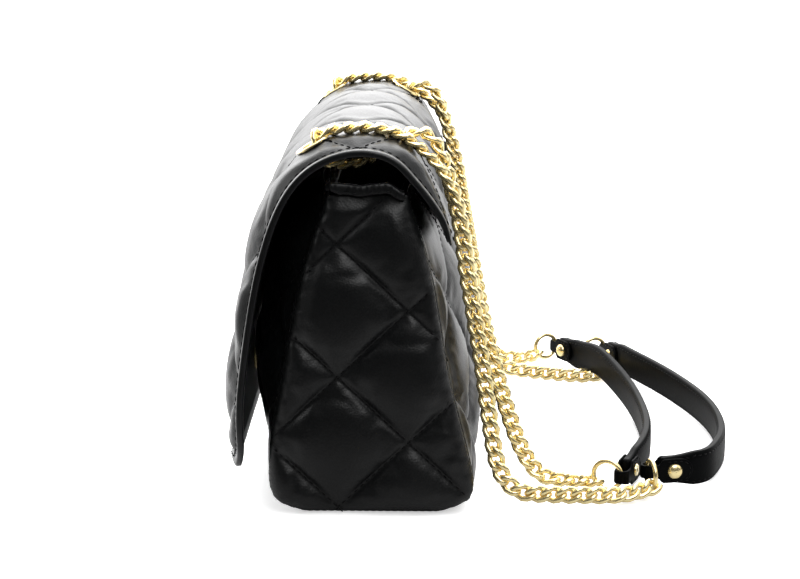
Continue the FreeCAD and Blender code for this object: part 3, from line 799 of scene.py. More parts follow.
@dataclass
class QuiltedPanel:
    """A padded leather panel, quilted in diamonds and swollen between its sewing lines."""

    name: str
    surface: Surface
    outline: Outline
    quilt: Quilt
    level: Callable[[float, float, float], float]
    crown: Callable[[float, float, float], float]
    thick: float
    pressure: float = 5.0
    frames: int = 20
    growth: float = 0.008
    crease: float = 0.8
    flatness: float = 0.42

    def build(self, finishes: Finishes) -> bpy.types.Object:
        """Make the panel as a closed padded sheet.

        Args:
            finishes: the bag's finishes.

        Returns:
            The panel.
        """
        bm, places = self.trimmed_grid()
        edge = self.outline.inside(places)
        bare = [self.surface.point(*place) for place in places]
        for vert, (point, outward), place, inner in zip(bm.verts, bare, places, edge):
            vert.co = point + outward * self.level(*place, inner)
        bmesh.ops.recalc_face_normals(bm, faces=bm.faces)
        bm.faces.ensure_lookup_table()
        middle = bm.faces[len(bm.faces) // 2]
        if middle.normal.dot(bare[middle.verts[0].index][1]) < 0:
            bmesh.ops.reverse_faces(bm, faces=bm.faces)
        piece = new_object(self.name, bm, finishes.leather)
        start = np.array([v.co for v in piece.data.vertices])
        tied = self.tied(places, edge)
        rise = self.swollen(piece, tied) - start if self.frames else None
        heights = self.heights(places, edge, bare, rise)
        moved = start + heights[:, None] * np.array([outward for _, outward in bare])
        piece.data.vertices.foreach_set("co", moved.astype(np.float32).ravel())
        self.thicken(piece, self.sewn(places))
        rounded(piece)
        return piece

    def trimmed_grid(self) -> tuple[bmesh.types.BMesh, np.ndarray]:
        """Grid whose edges run along the sewing lines, trimmed to the outline.

        Returns:
            The grid, and its points in p and q.
        """
        corners = self.quilt.shares(self.outline.edge)
        low = np.floor(corners.min(0) * self.quilt.cells).astype(int) - 1
        high = np.ceil(corners.max(0) * self.quilt.cells).astype(int) + 1
        count = high - low
        bm = bmesh.new()
        bmesh.ops.create_grid(bm, x_segments=int(count[0]), y_segments=int(count[1]), size=1)
        flat = np.array([(v.co.x, v.co.y) for v in bm.verts])
        places = self.quilt.place((low + (flat + 1) / 2 * count) / self.quilt.cells)
        inside = self.outline.inside(places)
        for vert, place in zip(bm.verts, places):
            vert.co = (*place, 0)
        step = math.hypot(self.quilt.wide, self.quilt.tall) / 2 / self.quilt.cells
        outer = [v for v, distance in zip(bm.verts, inside) if distance < -0.45 * step]
        bmesh.ops.delete(bm, geom=outer, context="VERTS")
        loose = [v for v in bm.verts if len(v.link_faces) == 0]
        bmesh.ops.delete(bm, geom=loose, context="VERTS")
        bm.verts.index_update()
        places = np.array([v.co.xy for v in bm.verts], float)
        nearest = self.outline.measure(places)[1]
        for vert in bm.verts:
            if vert.is_boundary:
                places[vert.index] = nearest[vert.index]
        return bm, places

    def tied(self, places: np.ndarray, edge: np.ndarray) -> np.ndarray:
        """Which grid points the thread holds down."""
        return self.sewn(places) | (edge < 0.5 * MM)

    def sewn(self, places: np.ndarray) -> np.ndarray:
        """Which places lie on a sewing line."""
        shares = self.quilt.shares(places)
        return (abs(shares - np.round(shares)) < 0.35 / self.quilt.cells).any(1)

    def swollen(self, piece: bpy.types.Object, tied: np.ndarray) -> np.ndarray:
        """Let the padding swell the leather between its tied points.

        Args:
            piece: the flat panel.
            tied: which of its points stay.

        Returns:
            The points after swelling.
        """
        group = piece.vertex_groups.new(name="tied")
        group.add([int(i) for i in np.nonzero(tied)[0]], 1.0, "REPLACE")
        modifier = piece.modifiers.new("swell", "CLOTH")
        cloth = modifier.settings
        cloth.vertex_group_mass = group.name
        cloth.use_pressure = True
        cloth.uniform_pressure_force = self.pressure
        cloth.shrink_min = -self.growth
        cloth.effector_weights.gravity = 0
        modifier.point_cache.frame_start = 1
        modifier.point_cache.frame_end = self.frames
        scene = bpy.context.scene
        for number in range(1, self.frames + 1):
            scene.frame_set(number)
        shaped = piece.evaluated_get(bpy.context.evaluated_depsgraph_get())
        points = np.array([v.co for v in shaped.data.vertices])
        piece.modifiers.remove(modifier)
        piece.vertex_groups.remove(group)
        scene.frame_set(1)
        return points

    def heights(
        self, places: np.ndarray, edge: np.ndarray, bare: list[tuple[Vector, Vector]],
        rise: np.ndarray | None,
    ) -> np.ndarray:
        """Height of each point over the sewing lines' level.

        Args:
            places: the points in p and q.
            edge: how far inside the edge each lies.
            bare: place and outward direction of each on the bare surface.
            rise: how far the swelling moved each, or None for an even pillow.

        Returns:
            The heights, each no more than the crown allows.
        """
        waves = abs(np.sin(math.pi * self.quilt.shares(places)))
        pillow = waves.prod(1) ** self.flatness
        if rise is not None:
            outward = np.array([out for _, out in bare])
            swell = np.maximum((rise * outward).sum(1), 0)
            top = max(float(np.percentile(swell, 97)), 1e-6)
            pillow = 0.6 * pillow + 0.4 * np.tanh(1.4 * swell / top)
        crowns = np.array([self.crown(*place, inner) for place, inner in zip(places, edge)])
        return crowns * pillow

    def thicken(self, piece: bpy.types.Object, sewn: np.ndarray) -> None:
        """Crease the sheet along its sewing lines and give it its thickness, inwards.

        Args:
            piece: the sheet.
            sewn: which of its points lie on a sewing line.
        """
        bm = bmesh.new()
        bm.from_mesh(piece.data)
        crease = bm.edges.layers.float.new("crease_edge")
        for edge in bm.edges:
            if all(sewn[v.index] for v in edge.verts):
                edge[crease] = self.crease
        bmesh.ops.solidify(bm, geom=bm.faces[:], thickness=self.thick)
        bm.to_mesh(piece.data)
        bm.free()
        piece.data.shade_smooth()

    def sew(self, finishes: Finishes, lift: float = 0.15 * MM) -> bpy.types.Object:
        """Sew along the quilting lines.

        Args:
            finishes: the bag's finishes.
            lift: how far the thread stands over the lines' level.

        Returns:
            The stitches.
        """
        stitching = Stitching()
        low, high = self.outline.edge.min(0), self.outline.edge.max(0)
        for line in self.quilt.lines(low, high):
            inner = self.outline.inside(line)
            kept = inner > 1.5 * MM
            if not kept.any():
                continue
            places, outwards = [], []
            for place, distance in zip(line[kept], inner[kept]):
                point, outward = self.surface.point(*place)
                places.append(point + outward * (self.level(*place, distance) + lift))
                outwards.append(outward)
            stitching.row(places, outwards)
        return stitching.piece(f"{self.name}_stitches", finishes)


def plain_sheet(
    name: str, surface: Surface, outline: Outline, quilt: Quilt,
    level: Callable[[float, float, float], float], thick: float, finishes: Finishes, crown: float = 0.0,
) -> bpy.types.Object:
    """Make a plain sheet of lining.

    Args:
        name: the sheet's name.
        surface: what it is laid over.
        outline: its edge.
        quilt: sets the spacing of its grid.
        level: its height over the surface.
        thick: its thickness.
        finishes: the bag's finishes.
        crown: how far it may rise between the lines.

    Returns:
        The sheet.
    """
    panel = QuiltedPanel(
        name, surface, outline, quilt, level, lambda p, q, inner: crown, thick, frames=0)
    piece = panel.build(finishes)
    piece.data.materials[0] = finishes.lining
    return piece


def swept(
    name: str, centres: Sequence[Vector], sides: Sequence[Vector], ups: Sequence[Vector],
    section: Callable[[int], Sequence[tuple[float, float]]], material: bpy.types.Material,
) -> bpy.types.Object:
    """Skin a closed section along a path.

    Args:
        name: the piece's name.
        centres: points of the path.
        sides: the section's first direction at each point.
        ups: the section's second direction at each point.
        section: gives the section's points at each point of the path, always as many.
        material: its finish.

    Returns:
        The closed piece.
    """
    rows = len(centres) - 1
    columns = len(section(0))
    bm = bmesh.new()
    bmesh.ops.create_grid(bm, x_segments=columns, y_segments=rows, size=1)
    for vert in bm.verts:
        i = round((vert.co.x + 1) / 2 * columns) % columns
        k = round((vert.co.y + 1) / 2 * rows)
        a, b = section(k)[i]
        vert.co = centres[k] + sides[k] * a + ups[k] * b
    bmesh.ops.remove_doubles(bm, verts=bm.verts, dist=1e-6)
    bmesh.ops.holes_fill(bm, edges=[e for e in bm.edges if e.is_boundary], sides=0)
    bmesh.ops.recalc_face_normals(bm, faces=bm.faces)
    return new_object(name, bm, material)


def soft_section(
    half_wide: float, half_thick: float, crown: float, count: int = 28,
) -> list[tuple[float, float]]:
    """Section of a padded strap: rounded edges and a crowned middle.

    Args:
        half_wide: half its width.
        half_thick: half its thickness at the edges.
        crown: how far each face swells in the middle.
        count: how many points.

    Returns:
        Points as width and thickness.
    """
    points = []
    for i in range(count):
        turn = 2 * math.pi * i / count
        wide = math.copysign(abs(math.cos(turn)) ** 0.55, math.cos(turn))
        thick = math.copysign(abs(math.sin(turn)) ** 0.45, math.sin(turn))
        swell = crown * max(1 - wide * wide, 0) * math.copysign(1, math.sin(turn)) if abs(thick) > 0.2 else 0
        points.append((half_wide * wide, half_thick * thick + swell))
    return points


@dataclass
class Flap:
    """The quilted flap with its lining and its turned, stitched edge."""

    half: float = 125.5 * MM
    corner: float = 22.0 * MM
    trim: float = 2.0 * MM
    sewn_level: float = -2.0 * MM
    pressed_level: float = -1.2 * MM
    puff: float = 5.2 * MM
    band: float = 5.6 * MM
    hole: float = 6.6 * MM
    flange: float = 9.6 * MM
    front_eyelet: float = 100 * MM
    back_eyelet: float = 91.5 * MM
    inside_chain: tuple[float, float] = (70 * MM, 84 * MM)
    outside_chain: tuple[float, float] = (105 * MM, 113 * MM)
    thick: float = 0.45 * MM
    lining_thick: float = 0.6 * MM
    lining_depth: float = 2.5 * MM
    top_y: float = -6.5 * MM
    wide: float = 59.5 * MM
    tall: float = 70.0 * MM
    eyelet_rows: tuple[float, float] = (FLAP_LINE.nearest(0, -26.44 * MM), FLAP_LINE.nearest(0, 12.63 * MM))

    def eyelets(self) -> list[tuple[float, float]]:
        """Places of the eyelets in the flap's own lengths.

        Returns:
            Places as p and q, the front ones first.
        """
        front, back = self.eyelet_rows
        rows = ((self.front_eyelet, front), (self.back_eyelet, back))
        return [(side * x, q) for x, q in rows for side in (1, -1)]

    def edge(self, inset: float = 0.0) -> np.ndarray:
        """Outline from the seam's right end down, along the front and up to its left end.

        Args:
            inset: how far inside the flap's own edge.

        Returns:
            Rows of p and q.
        """
        length = FLAP_LINE.length
        radius = self.corner - inset
        middle = np.array([self.half - self.corner, length + self.trim - self.corner])
        last = math.asin(min((self.corner - self.trim - inset) / radius, 1))
        arc = [middle + radius * np.array([math.cos(a), math.sin(a)]) for a in np.linspace(0, last, 14)]
        right = [np.array([self.half - inset, q]) for q in np.linspace(0, middle[1], 80)[:-1]] + arc
        left = [point * np.array([-1, 1]) for point in reversed(right)]
        bottom = [
            np.array([x, length - inset]) for x in np.linspace(right[-1][0], left[0][0], 80)[1:-1]]
        return np.array(right + bottom + left)

    def near_chain(self, p: float, q: float) -> float:
        """How much the chain presses on the flap, 0 to 1.

        Args:
            p: length along the bag.
            q: length forward from the seam.

        Returns:
            The share.
        """
        front = self.eyelet_rows[0]
        beside = eased(abs(p), *self.inside_chain) * (1 - 0.85 * eased(abs(p), *self.outside_chain))
        return beside * (1 - eased(q, front + 10 * MM, front + 30 * MM))

    def seat(self, p: float, q: float) -> float:
        """1 under an eyelet's flange, 0 well away from it."""
        nearest = min(math.hypot(p - x, q - y) for x, y in self.eyelets())
        return 1 - eased(nearest, self.flange, self.flange + 7 * MM)

    def level(self, p: float, q: float, inner: float) -> float:
        """Level of the sewing lines, raised to the eyelets' seats and under the chains.

        Args:
            p: length along the bag.
            q: length forward from the seam.
            inner: distance inside the edge.

        Returns:
            The height over the bare surface.
        """
        level = self.sewn_level + (self.pressed_level - self.sewn_level) * self.near_chain(p, q)
        seat = self.seat(p, q)
        return level * (1 - seat) - 0.05 * MM * seat

    def crown(self, p: float, q: float, inner: float) -> float:
        """How far the padding may rise over the lines."""
        free = self.puff * (1 - 0.88 * self.near_chain(p, q)) * (1 - self.seat(p, q))
        return free * eased(inner, 3 * MM, 9 * MM)

    def build(self, finishes: Finishes) -> None:
        """Make the flap's pieces.

        Args:
            finishes: the bag's finishes.
        """
        holes = [(p, q, self.hole) for p, q in self.eyelets()]
        outline = Outline(self.edge(0.8 * MM), holes)
        panel = QuiltedPanel(
            "flap_leather", FlapSurface(), outline, self.quilt(), self.level, self.crown, self.thick,
            flatness=0.6)
        pieces = [panel.build(finishes), panel.sew(finishes), self.lining(finishes, holes)]
        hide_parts("flap_outer", "flap_stiffener")
        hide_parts("flap_lining")
        pieces += self.turned_edge(finishes)
        for piece in pieces:
            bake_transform(piece)

    @staticmethod
    def sag(p: float, q: float) -> float:
        """How far the lining sags inwards in front of the top."""
        y, z = FLAP_LINE.at(q)
        return slack(p, z) * eased(-y, 14 * MM, 34 * MM)

    def quilt(self, cells: int = 18) -> Quilt:
        """The flap's quilting, whose lines cross in the middle of its top."""
        return Quilt(self.wide, self.tall, (0.0, FLAP_LINE.nearest(0, self.top_y)), cells)

    def lining(self, finishes: Finishes, holes: Sequence[tuple[float, float, float]]) -> bpy.types.Object:
        """Make the flap's lining, a plain sheet under the quilting.

        Args:
            finishes: the bag's finishes.
            holes: the eyelets' holes, as place and radius.

        Returns:
            The lining.
        """
        return plain_sheet(
            "flap_lining_sheet", FlapSurface(), Outline(self.edge(1.2 * MM), holes), self.quilt(10),
            lambda p, q, inner: -self.lining_depth - self.sag(p, q), self.lining_thick, finishes,
            crown=0.05 * MM)

    def turned_edge(self, finishes: Finishes) -> list[bpy.types.Object]:
        """The layered edge round the flap, and the row of stitches inside it.

        Args:
            finishes: the bag's finishes.

        Returns:
            The edge and its stitches.
        """
        surface = FlapSurface()
        run = self.edge(self.band / 2)
        last = len(run) - 1
        inner_run = self.edge(self.band - 0.9 * MM)
        centres, sides, ups = [], [], []
        for i, place in enumerate(run):
            before, after = run[max(i - 1, 0)], run[min(i + 1, last)]
            point, outward = surface.point(*place)
            along = surface.point(*after)[0] - surface.point(*before)[0]
            wobble = 0.35 * MM * noise.noise(Vector((i * 0.21, 3.1, 0.7)))
            ups.append(outward)
            sides.append(along.cross(outward).normalized())
            centres.append(point - outward * 1.45 * MM + sides[-1] * wobble)

        def section(k: int) -> list[tuple[float, float]]:
            """The edge's section, drawn in at both ends of the run."""
            return self.edge_section(eased(min(k, last - k), 0, 5))

        band = swept("flap_edge", centres, sides, ups, section, finishes.edge)
        stitching = Stitching()
        places, outwards = [], []
        for place in self.dense(inner_run):
            point, outward = surface.point(*place)
            places.append(point + outward * 0.12 * MM)
            outwards.append(outward)
        stitching.row(places, outwards)
        return [band, stitching.piece("flap_edge_stitches", finishes)]

    def edge_section(self, share: float) -> list[tuple[float, float]]:
        """Section of the edge: a rounded top layer over two thinner ones, drawn in where share falls to 0.

        Args:
            share: how full it is, 0 to 1.

        Returns:
            Points as width and thickness.
        """
        full = 0.35 + 0.65 * share
        half = self.band / 2 * full
        return [(a * half, b * MM * full) for a, b in (
            (-1, -1.2), (-1, 0.9), (-0.8, 1.35), (-0.3, 1.6), (0.3, 1.62), (0.75, 1.45), (0.97, 1.0),
            (1.0, 0.55), (0.93, 0.2), (0.84, 0.08), (0.92, -0.05), (0.95, -0.4), (0.86, -0.72), (0.8, -0.8),
            (0.88, -0.92), (0.9, -1.3), (0.8, -1.62), (0.4, -1.75), (-0.4, -1.7), (-0.9, -1.5))]

    @staticmethod
    def dense(run: np.ndarray) -> np.ndarray:
        """Close points along a run.

        Args:
            run: rows of p and q.

        Returns:
            Rows of p and q, evenly spaced.
        """
        steps = np.concatenate([[0], np.cumsum(np.linalg.norm(np.diff(run, axis=0), axis=1))])
        fine = np.arange(0, steps[-1], 0.4 * MM)
        return np.stack([np.interp(fine, steps, run[:, k]) for k in (0, 1)], axis=1)


@dataclass
class Body:
    """The bag's quilted walls and gussets, its base, hems and lining."""

    wide: float = 62.75 * MM
    tall: float = 61.0 * MM
    gusset_wide: float = 63.5 * MM
    gusset_tall: float = 60.5 * MM
    gusset_cross: tuple[float, float] = (-15.3 * MM, 63.5 * MM)
    sewn_level: float = -1.8 * MM
    puff: float = 6.2 * MM
    wall_puff: float = 4.2 * MM

    def build(self, finishes: Finishes) -> None:
        """Make all the body's pieces.

        Args:
            finishes: the bag's finishes.
        """
        for name, line, side in (("front", FRONT_LINE, -1), ("back", BACK_LINE, 1)):
            self.wall(name, line, side, finishes)
        for name, side in (("right", 1), ("left", -1)):
            self.gusset(name, side, finishes)
            self.gusset_hem(name, side, finishes)
        self.front_hem(finishes)
        self.base(finishes)
        self.lining(finishes)

    def wall(self, name: str, line: Profile, side: int, finishes: Finishes) -> None:
        """One quilted wall with its stitches.

        Args:
            name: front or back.
            line: its profile.
            side: -1 for the front and 1 for the back.
            finishes: the bag's finishes.
        """
        half = BODY_HALF * MM
        corners = [(-half, 0), (half, 0), (half, line.length), (-half, line.length)]
        outline = Outline(np.array(corners))
        hinge = line.nearest(1, 112 * MM)

        def level(p: float, q: float, inner: float) -> float:
            """Level of the sewing lines, sunk but at the edges."""
            return self.sewn_level * eased(inner, 0, 6 * MM) - 0.1 * MM

        def crown(p: float, q: float, inner: float) -> float:
            """Flat at the edges and, on the back, lower where the flap lies on it."""
            under = eased(q, hinge - 6 * MM, hinge + 12 * MM) if side > 0 else 1
            return self.wall_puff * eased(inner, 0, 8 * MM) * (0.35 + 0.65 * under)

        quilt = Quilt(self.wide, self.tall, (0.0, line.nearest(1, 63.5 * MM)))
        panel = QuiltedPanel(
            f"{name}_wall_leather", WallSurface(line, side, side < 0), outline, quilt, level, crown, 1.0 * MM)
        pieces = [panel.build(finishes), panel.sew(finishes)]
        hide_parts(f"{name}_panel")
        for piece in pieces:
            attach(piece, "bag")

    @staticmethod
    def gusset_edge() -> np.ndarray:
        """Outline of a gusset, from the mouth down the front and up the back.

        Returns:
            Rows of Y and Z.
        """
        front = [FRONT_LINE.at(d)[:2] for d in np.linspace(0, FRONT_LINE.length, 70)]
        back = [BACK_LINE.at(d)[:2] for d in np.linspace(BACK_LINE.length, 0, 70)]
        floor = [np.array([y, 0.0]) for y in np.linspace(-30, 30, 20)[1:-1] * MM]
        mouth = [np.array([y, MOUTH * MM]) for y in np.linspace(16, -19, 14)[1:-1] * MM]
        return np.array(front + floor + back + mouth)

    def gusset(self, name: str, side: int, finishes: Finishes) -> None:
        """One quilted gusset with its stitches.

        Args:
            name: right or left.
            side: 1 for the right and -1 for the left.
            finishes: the bag's finishes.
        """
        roll, deep = 4.0 * MM, 4.2 * MM

        def level(p: float, q: float, inner: float) -> float:
            """Round over to the seam at the edge, but not at the mouth.

            Args:
                p: length across the bag.
                q: height.
                inner: distance inside the edge.

            Returns:
                The height over the bare surface.
            """
            short = 1 - min(max(inner, 0) / roll, 1)
            drop = deep * (1 - math.sqrt(max(1 - short * short, 0)))
            keep = eased(q, (MOUTH - 8) * MM, MOUTH * MM)
            return -drop * (1 - keep) - 2.5 * MM * keep + self.sewn_level * eased(inner, 0, 6 * MM)

        def crown(p: float, q: float, inner: float) -> float:
            """Full in the middle and flat at the seam."""
            return self.puff * eased(inner, -1 * MM, 8 * MM)

        quilt = Quilt(self.gusset_wide, self.gusset_tall, self.gusset_cross, 20)
        panel = QuiltedPanel(
            f"{name}_gusset_leather", GussetSurface(side), Outline(self.gusset_edge()), quilt, level, crown,
            0.9 * MM)
        pieces = [panel.build(finishes), panel.sew(finishes)]
        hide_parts(f"{name}_gusset")
        for piece in pieces:
            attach(piece, "bag")

    @staticmethod
    def gusset_hem(name: str, side: int, finishes: Finishes) -> None:
        """The gathered hem at the top of a gusset, with its row of stitches.

        Args:
            name: right or left.
            side: 1 for the right and -1 for the left.
            finishes: the bag's finishes.
        """
        low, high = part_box(f"{name}_gusset_hem")
        middle = (low + high) / 2
        steps = np.linspace(low.y, high.y, 46)
        half = (high.z - low.z) / 2

        def height(y: float) -> float:
            """Height of the hem's middle: it sags, and its back end is drawn down.

            Args:
                y: place along the hem.

            Returns:
                The height.
            """
            share = (y - low.y) / (high.y - low.y)
            sag = 1.6 * MM * math.sin(math.pi * min(share / 0.75, 1)) + 4.5 * MM * eased(share, 0.72, 1)
            return middle.z + 0.8 * MM - sag + 0.6 * MM * noise.noise(Vector((y * 150, side, 2.6)))

        centres = []
        for y in steps:
            bulge = 0.8 * MM + 0.9 * MM * noise.noise(Vector((y * 190, side, 0.3)))
            centres.append(Vector((middle.x + side * bulge, y, height(y))))

        def section(k: int) -> list[tuple[float, float]]:
            """Thinner at the ends, puckered along its length.

            Args:
                k: number of the place along the hem.

            Returns:
                Points as width and thickness.
            """
            ends = min(k, len(steps) - 1 - k) / 5
            pucker = 1 + 0.12 * math.sin(k * 1.7) + 0.08 * noise.noise(Vector((k * 0.9, side, 0)))
            return soft_section(half * min(0.72 + 0.28 * ends, 1), 2.0 * MM * pucker, 0.35 * MM, 20)

        hem = swept(
            f"{name}_gusset_hem_leather", centres, [UP] * len(steps), [ACROSS * side] * len(steps), section,
            finishes.hem)
        rounded(hem)
        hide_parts(f"{name}_gusset_hem")
        stitching = Stitching()
        outward = ACROSS * side
        fine = np.linspace(low.y + 1.5 * MM, high.y - 1.5 * MM, 120)
        places = [Vector((middle.x + side * 3.1 * MM, y, height(y) - half * 0.5)) for y in fine]
        stitching.row(places, [outward] * len(places))
        for piece in (hem, stitching.piece(f"{name}_gusset_hem_stitches", finishes)):
            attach(piece, "bag")

    @staticmethod
    def front_hem(finishes: Finishes) -> None:
        """The folded hem along the top of the front wall.

        Args:
            finishes: the bag's finishes.
        """
        low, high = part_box("front_hem")
        middle = (low + high) / 2
        steps = np.linspace(low.x, high.x, 90)
        centres = []
        for x in steps:
            wave = 0.2 * MM * noise.noise(Vector((x * 60, 0, 5)))
            centres.append(Vector((x, middle.y, middle.z + wave)))
        wide, thick = (high.y - low.y) / 2, (high.z - low.z) / 2

        def section(k: int) -> list[tuple[float, float]]:
            """The same all along, but for faint puckers."""
            return soft_section(wide, thick * (0.93 + 0.07 * math.sin(k * 1.3)), 0.1 * MM, 16)

        hem = swept(
            "front_hem_leather", centres, [BACKWARD] * len(steps), [UP] * len(steps), section, finishes.hem)
        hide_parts("front_hem")
        stitching = Stitching()
        fine = np.linspace(low.x + 2 * MM, high.x - 2 * MM, 600)
        places = [Vector((x, middle.y - wide * 0.5, high.z - 0.1 * MM)) for x in fine]
        stitching.row(places, [UP] * len(places))
        for piece in (hem, stitching.piece("front_hem_stitches", finishes)):
            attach(piece, "bag")

    @staticmethod
    def base(finishes: Finishes) -> None:
        """The leather base, slightly rounded at its edges.

        Args:
            finishes: the bag's finishes.
        """
        low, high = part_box("base_panel")
        bm = bmesh.new()
        bmesh.ops.create_cube(bm, size=1)
        size = high - low
        bmesh.ops.scale(bm, vec=size, verts=bm.verts)
        bmesh.ops.translate(bm, vec=(low + high) / 2, verts=bm.verts)
        bmesh.ops.bevel(
            bm, geom=bm.edges[:], offset=1.2 * MM, affect="EDGES", segments=3, profile=0.5, material=-1)
        piece = new_object("base_leather", bm, finishes.leather)
        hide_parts("base_panel")
        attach(piece, "bag")

    def lining(self, finishes: Finishes) -> None:
        """Make the pocket's lining: walls with soft folds, ends and floor.

        Args:
            finishes: the bag's finishes.
        """
        half = (BODY_HALF - 1.2) * MM
        depth = 4.6 * MM
        for name, line, side in (("front", FRONT_LINE, -1), ("back", BACK_LINE, 1)):
            reach = line.nearest(1, 9 * MM)
            corners = np.array([(-half, 0), (half, 0), (half, reach), (-half, reach)])
            piece = plain_sheet(
                f"lining_{name}", WallSurface(line, side), Outline(corners), Quilt(0.08, 0.08, (0, 0), 10),
                lambda p, q, inner: -depth - 0.25 * MM * noise.noise(Vector((p * 40, q * 25, 1))),
                0.4 * MM, finishes)
            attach(piece, "bag")
            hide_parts("lining")
        self.lining_ends(finishes)
        self.lining_floor(finishes)

    @staticmethod
    def lining_floor(finishes: Finishes) -> None:
        """Make the lining's floor sheet, lying on the base board.

        Args:
            finishes: the bag's finishes.
        """
        low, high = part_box("base_board")
        size, middle = high - low, (low + high) / 2
        bm = bmesh.new()
        bmesh.ops.create_grid(bm, x_segments=60, y_segments=20, size=0.5)
        for vert in bm.verts:
            ripple = 0.3 * MM * noise.noise(Vector((vert.co.x * 9, vert.co.y * 4, 7)))
            x, y = middle.x + vert.co.x * size.x, middle.y + vert.co.y * size.y
            vert.co = (x, y, high.z + 1.0 * MM + ripple)
        bmesh.ops.solidify(bm, geom=bm.faces[:], thickness=0.4 * MM)
        bmesh.ops.recalc_face_normals(bm, faces=bm.faces)
        piece = new_object("lining_floor", bm, finishes.lining)
        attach(piece, "bag")

    def lining_ends(self, finishes: Finishes) -> None:
        """Make the lining's two end sheets.

        Args:
            finishes: the bag's finishes.
        """
        edge = self.gusset_edge()
        middle = np.array([0.0, 75 * MM])
        inset = edge - (edge - middle) / np.linalg.norm(edge - middle, axis=1)[:, None] * 6 * MM
        inset[:, 1] = np.maximum(inset[:, 1], 7.2 * MM)
        for name, side in (("right", 1), ("left", -1)):
            piece = plain_sheet(
                f"lining_{name}_end", GussetSurface(side, 119.7 * MM), Outline(inset),
                Quilt(0.05, 0.05, (0, 0), 10),
                lambda p, q, inner: 0.2 * MM * noise.noise(Vector((p * 60, q * 60, 4))) - 0.4 * MM,
                0.3 * MM, finishes)
            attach(piece, "bag")


